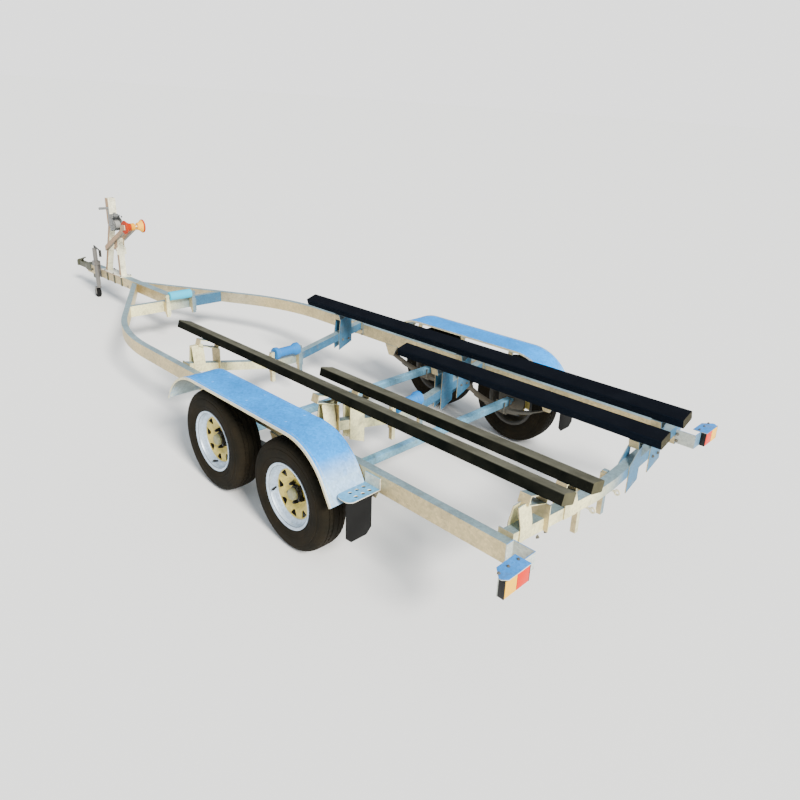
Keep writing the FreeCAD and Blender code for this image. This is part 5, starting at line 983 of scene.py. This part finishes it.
class TRAILER_OT_lamps(bpy.types.Operator):
    """Tail lamps with an amber and a red lens in a black case"""
    bl_idname = "trailer.lamps"
    bl_label = "Tail lamps"

    def execute(self, context):
        place = chassis_matrix()
        for side, name in SIDES:
            node = "lamp_" + name
            case = Piece(place)
            case.box((-1.8095, side * 1.005, LAMP_LEVEL), (0.027, 0.18, 0.0835), 0.003)
            for across in (1.092, 0.918):
                case.box((-1.824, side * across, LAMP_LEVEL), (0.006, 0.006, 0.0835), 0.001)
            case.finish(node + "_case", "plastic", "chassis", "lamp_lens", (node,))
            for finish, across, width in (("amber", 1.049, 0.079), ("red", 0.9645, 0.086)):
                lens = Piece(place)
                lens.box((-1.8245, side * across, LAMP_LEVEL), (0.007, width, 0.0795), 0.002)
                lens.finish("%s_%s" % (node, finish), finish, "chassis", "lamp_lens")
            bolts = Piece(place)
            for across in (0.935, 1.005, 1.07):
                bolts.bolt((-1.777, side * across, 0.569), UP, 0.0055)
            bolts.finish(node + "_bolts", "fixing")
        return {"FINISHED"}


BRACKET_BOLTS = (
    # station of the plates' rear faces, level of the bolts, plates moved on the right side
    (1.165, 0.47, 0.03), (-0.203, 0.47, 0.0), (-1.685, 0.5, -0.062),
)
MEMBERS = (
    # middle station, level of its end at the rail
    (1.2, 0.5), (-0.168, 0.5), (-1.65, 0.52),
)
BAR_BOLTS = (
    # stations, across, level, way out on the left, size
    ((4.125, 4.32, 4.548), 0.055, 0.589, (0, 0, 1), "small_bolt"),
    ((4.95, 4.83), 0.041, 0.531, (0, 1, 0), "bolt"),
    ((3.7, 3.86), 0.091, 0.531, (0.45, 1, 0), "bolt"),
    ((-0.8, -0.87), 0.8935, 0.452, (0, 1, 0), "small_bolt"),
)


class TRAILER_OT_fixings(bpy.types.Operator):
    """Bolts of the chassis, brackets, steps, springs and flaps, gusset and prop screws"""
    bl_idname = "trailer.fixings"
    bl_label = "Fixings"

    def execute(self, context):
        sizes = context.scene.trailer_fixings
        place = chassis_matrix()
        bolts = Piece(place)
        for side, _ in SIDES:
            for station, level in MEMBERS:
                for along in (-0.041, 0.041):
                    for up in (-0.022, 0.022):
                        at = (station + along, side * (RAIL_IN - 0.006), level + up)
                        bolts.bolt(at, (0, -side, 0), sizes.small_bolt)
            for station, level, moved in BRACKET_BOLTS:
                for across in (0.585, 0.65):
                    at = (station, side * (across + (moved if side == RIGHT else 0)), level)
                    bolts.bolt(at, (-1, 0, 0), sizes.small_bolt)
            for stations, across, level, (ahead, out, up), size in BAR_BOLTS:
                for station in stations:
                    bolts.bolt((station, side * across, level), (ahead, side * out, up),
                               getattr(sizes, size))
        bolts.finish("frame_bolts", "fixing")
        gusset = Piece(place)
        gusset.plate(((-0.052, 0), (0.052, 0), (0.052, 0.07), (0, 0.132), (-0.052, 0.07)),
                     0.004, (4.165, 0, 0.822), (-1, 0, 0), (0, -1, 0))
        gusset.finish("post_gusset", "post")
        screws = Piece()
        springs = Piece(place)
        low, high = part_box("rear_props")
        for side, _ in SIDES:
            at = Vector((low.x + 0.001, side * (high.y - 0.024), low.z + 0.172))
            screws.rod(at, (-1, 0, 0), 0.0065, 0.056, 14)
            screws.rod(at, (-1, 0, 0), 0.0125, 0.01, 6)
            screws.spun(at + Vector((-0.062, 0, 0)), (0, 1, 0), [
                (0.01, -0.004), (0.018, -0.004), (0.018, 0.004), (0.01, 0.004)], 28)
            for station, level in ((0.784, 0.396), (-0.784, 0.396), (0.0, 0.398)):
                springs.bolt((station, side * 0.8985, level), (0, side, 0), sizes.bolt)
        # The prop screws take the cream finish: painted sunlight.
        screws.finish("prop_screws", "cream")
        springs.finish("spring_bolts", "fixing")
        for side, name in SIDES:
            flap = Piece(place)
            for across in (0.93, 0.993, 1.056):
                flap.bolt((-0.853, side * across, 0.468), (-1, 0, 0), 0.006)
            flap.finish("flap_bolts_" + name, "fixing")
        return {"FINISHED"}


class TRAILER_OT_winch(bpy.types.Operator):
    """Strap coil, bolts, cross bar and knob of the winch"""
    bl_idname = "trailer.winch"
    bl_label = "Winch"

    def execute(self, context):
        drum = middle("winch_drum")
        drum.y = 0
        turned("winch_strap", "strap", "winch_drum", None, drum, (0, 1, 0), (
            (0.012, -0.026), (0.04, -0.026), (0.041, -0.024), (0.041, 0.024),
            (0.04, 0.026), (0.012, 0.026)), 40)
        low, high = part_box("winch_frame")
        trim = Piece()
        for side, _ in SIDES:
            for along, up in ((0.022, -0.02), (0.085, -0.022), (0.03, -0.13)):
                at = Vector((low.x + along, side * high.y, high.z + up))
                trim.bolt(at, (0, side, 0), 0.008)
        trim.box((low.x + 0.05, 0, high.z - 0.008), (0.02, 0.088, 0.012), 0.003)
        trim.rod((low.x + 0.03, 0.02, high.z - 0.01), UP, 0.01, 0.026, 20)
        trim.rod((low.x + 0.03, 0.02, high.z + 0.014), UP, 0.016, 0.014, 24)
        trim.finish("winch_trim", "winch")
        return {"FINISHED"}


class TRAILER_OT_stage(bpy.types.Operator):
    """Floor, light and camera"""
    bl_idname = "trailer.stage"
    bl_label = "Stage"

    def execute(self, context):
        stage = context.scene.trailer_stage
        scene = context.scene
        self.floor(stage)
        self.lights(scene, stage)
        self.camera(scene, stage)
        return {"FINISHED"}

    def floor(self, stage):
        """A flat pale floor that runs out of sight."""
        floor = Piece()
        bmesh.ops.create_grid(floor.mesh, x_segments=1, y_segments=1, size=stage.floor)
        material, tree, shader = new_material("pale_floor")
        for key, value in (("Base Color", (0.9, 0.9, 0.89)), ("Roughness", 0.9),
                           ("Specular IOR Level", 0.1)):
            feed(tree, shader.inputs[key], value)
        floor.shape("floor", material)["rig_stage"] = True

    def lights(self, scene, stage):
        world = bpy.data.worlds.new("studio")
        world.use_nodes = True
        tree = world.node_tree
        back = tree.nodes["Background"]
        feed(tree, back.inputs["Color"], (0.84, 0.92, 1.0))
        feed(tree, back.inputs["Strength"], stage.sky)
        seen = add(tree, "ShaderNodeBackground", {"Color": (1.0, 1.0, 0.99),
                                                  "Strength": stage.horizon})
        path = add(tree, "ShaderNodeLightPath")
        both = add(tree, "ShaderNodeMixShader", {0: path.outputs["Is Camera Ray"],
                                                 1: back.outputs[0], 2: seen.outputs[0]})
        feed(tree, tree.nodes["World Output"].inputs[0], both.outputs[0])
        scene.world = world
        light = bpy.data.lights.new("key", "SUN")
        light.energy = stage.key
        light.angle = stage.softness
        light.color = (1.0, 0.965, 0.9)
        item = bpy.data.objects.new("key", light)
        scene.collection.objects.link(item)
        towards = Vector((-math.cos(stage.key_turn), math.sin(stage.key_turn),
                          math.tan(stage.key_height)))
        item.matrix_world = facing(towards)
        item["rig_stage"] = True

    def camera(self, scene, stage):
        level = math.pi / 2
        turn = (Matrix.Rotation(stage.heading - level, 4, "Z")
                @ Matrix.Rotation(level - stage.pitch, 4, "X")
                @ Matrix.Rotation(stage.roll, 4, "Z"))
        data = bpy.data.cameras.new("camera")
        data.sensor_width = 36.0
        data.lens = stage.lens
        data.shift_x = 0.0066
        data.shift_y = -0.042
        data.clip_end = 500.0
        data.dof.use_dof = False
        camera = bpy.data.objects.new("camera", data)
        scene.collection.objects.link(camera)
        camera.matrix_world = Matrix.Translation(Vector(stage.camera_place)) @ turn
        scene.camera = camera
        camera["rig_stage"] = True


OPERATORS = (
    TRAILER_OT_finishes, TRAILER_OT_tyres, TRAILER_OT_rims, TRAILER_OT_wheel_trim,
    TRAILER_OT_axles, TRAILER_OT_guards, TRAILER_OT_lamps, TRAILER_OT_fixings,
    TRAILER_OT_rollers, TRAILER_OT_winch, TRAILER_OT_stage,
)


class TRAILER_PT_panel(bpy.types.Panel):
    """Settings and building steps of the trailer"""
    bl_idname = "TRAILER_PT_panel"
    bl_label = "Boat trailer"
    bl_space_type = "VIEW_3D"
    bl_region_type = "UI"
    bl_category = "Trailer"

    def draw(self, context):
        layout = self.layout
        for name, kind in SETTINGS:
            settings = getattr(context.scene, name)
            box = layout.box()
            for key in kind.__annotations__:
                box.prop(settings, key)
        for operator in OPERATORS:
            layout.operator(operator.bl_idname)


SETTINGS = (
    ("trailer_colours", TrailerColours), ("trailer_tyre", TrailerTyre),
    ("trailer_rim", TrailerRim), ("trailer_fixings", TrailerFixings),
    ("trailer_roller", TrailerRoller), ("trailer_stage", TrailerStage),
)
CLASSES = tuple(kind for _, kind in SETTINGS) + OPERATORS + (TRAILER_PT_panel,)


def register():
    for item in CLASSES:
        bpy.utils.register_class(item)
    for name, kind in SETTINGS:
        setattr(bpy.types.Scene, name, PointerProperty(type=kind))


def unregister():
    for name, kind in reversed(SETTINGS):
        delattr(bpy.types.Scene, name)
    for item in reversed(CLASSES):
        bpy.utils.unregister_class(item)


def visual_box():
    """Corners of everything shown that isn't the stage."""
    lows = [math.inf] * 3
    highs = [-math.inf] * 3
    for item in bpy.context.scene.objects:
        if item.type != "MESH" or item.hide_render or "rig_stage" in item:
            continue
        for vert in item.data.vertices:
            place = item.matrix_world @ vert.co
            for axis in range(3):
                lows[axis] = min(lows[axis], place[axis])
                highs[axis] = max(highs[axis], place[axis])
    return [lows, highs]


def main():
    cad = [list(corner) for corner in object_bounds()]
    register()
    for operator in OPERATORS:
        group, name = operator.bl_idname.split(".")
        getattr(getattr(bpy.ops, group), name)()
    {"cad": cad, "visual": visual_box()}


if __name__ == "__main__":
    main()
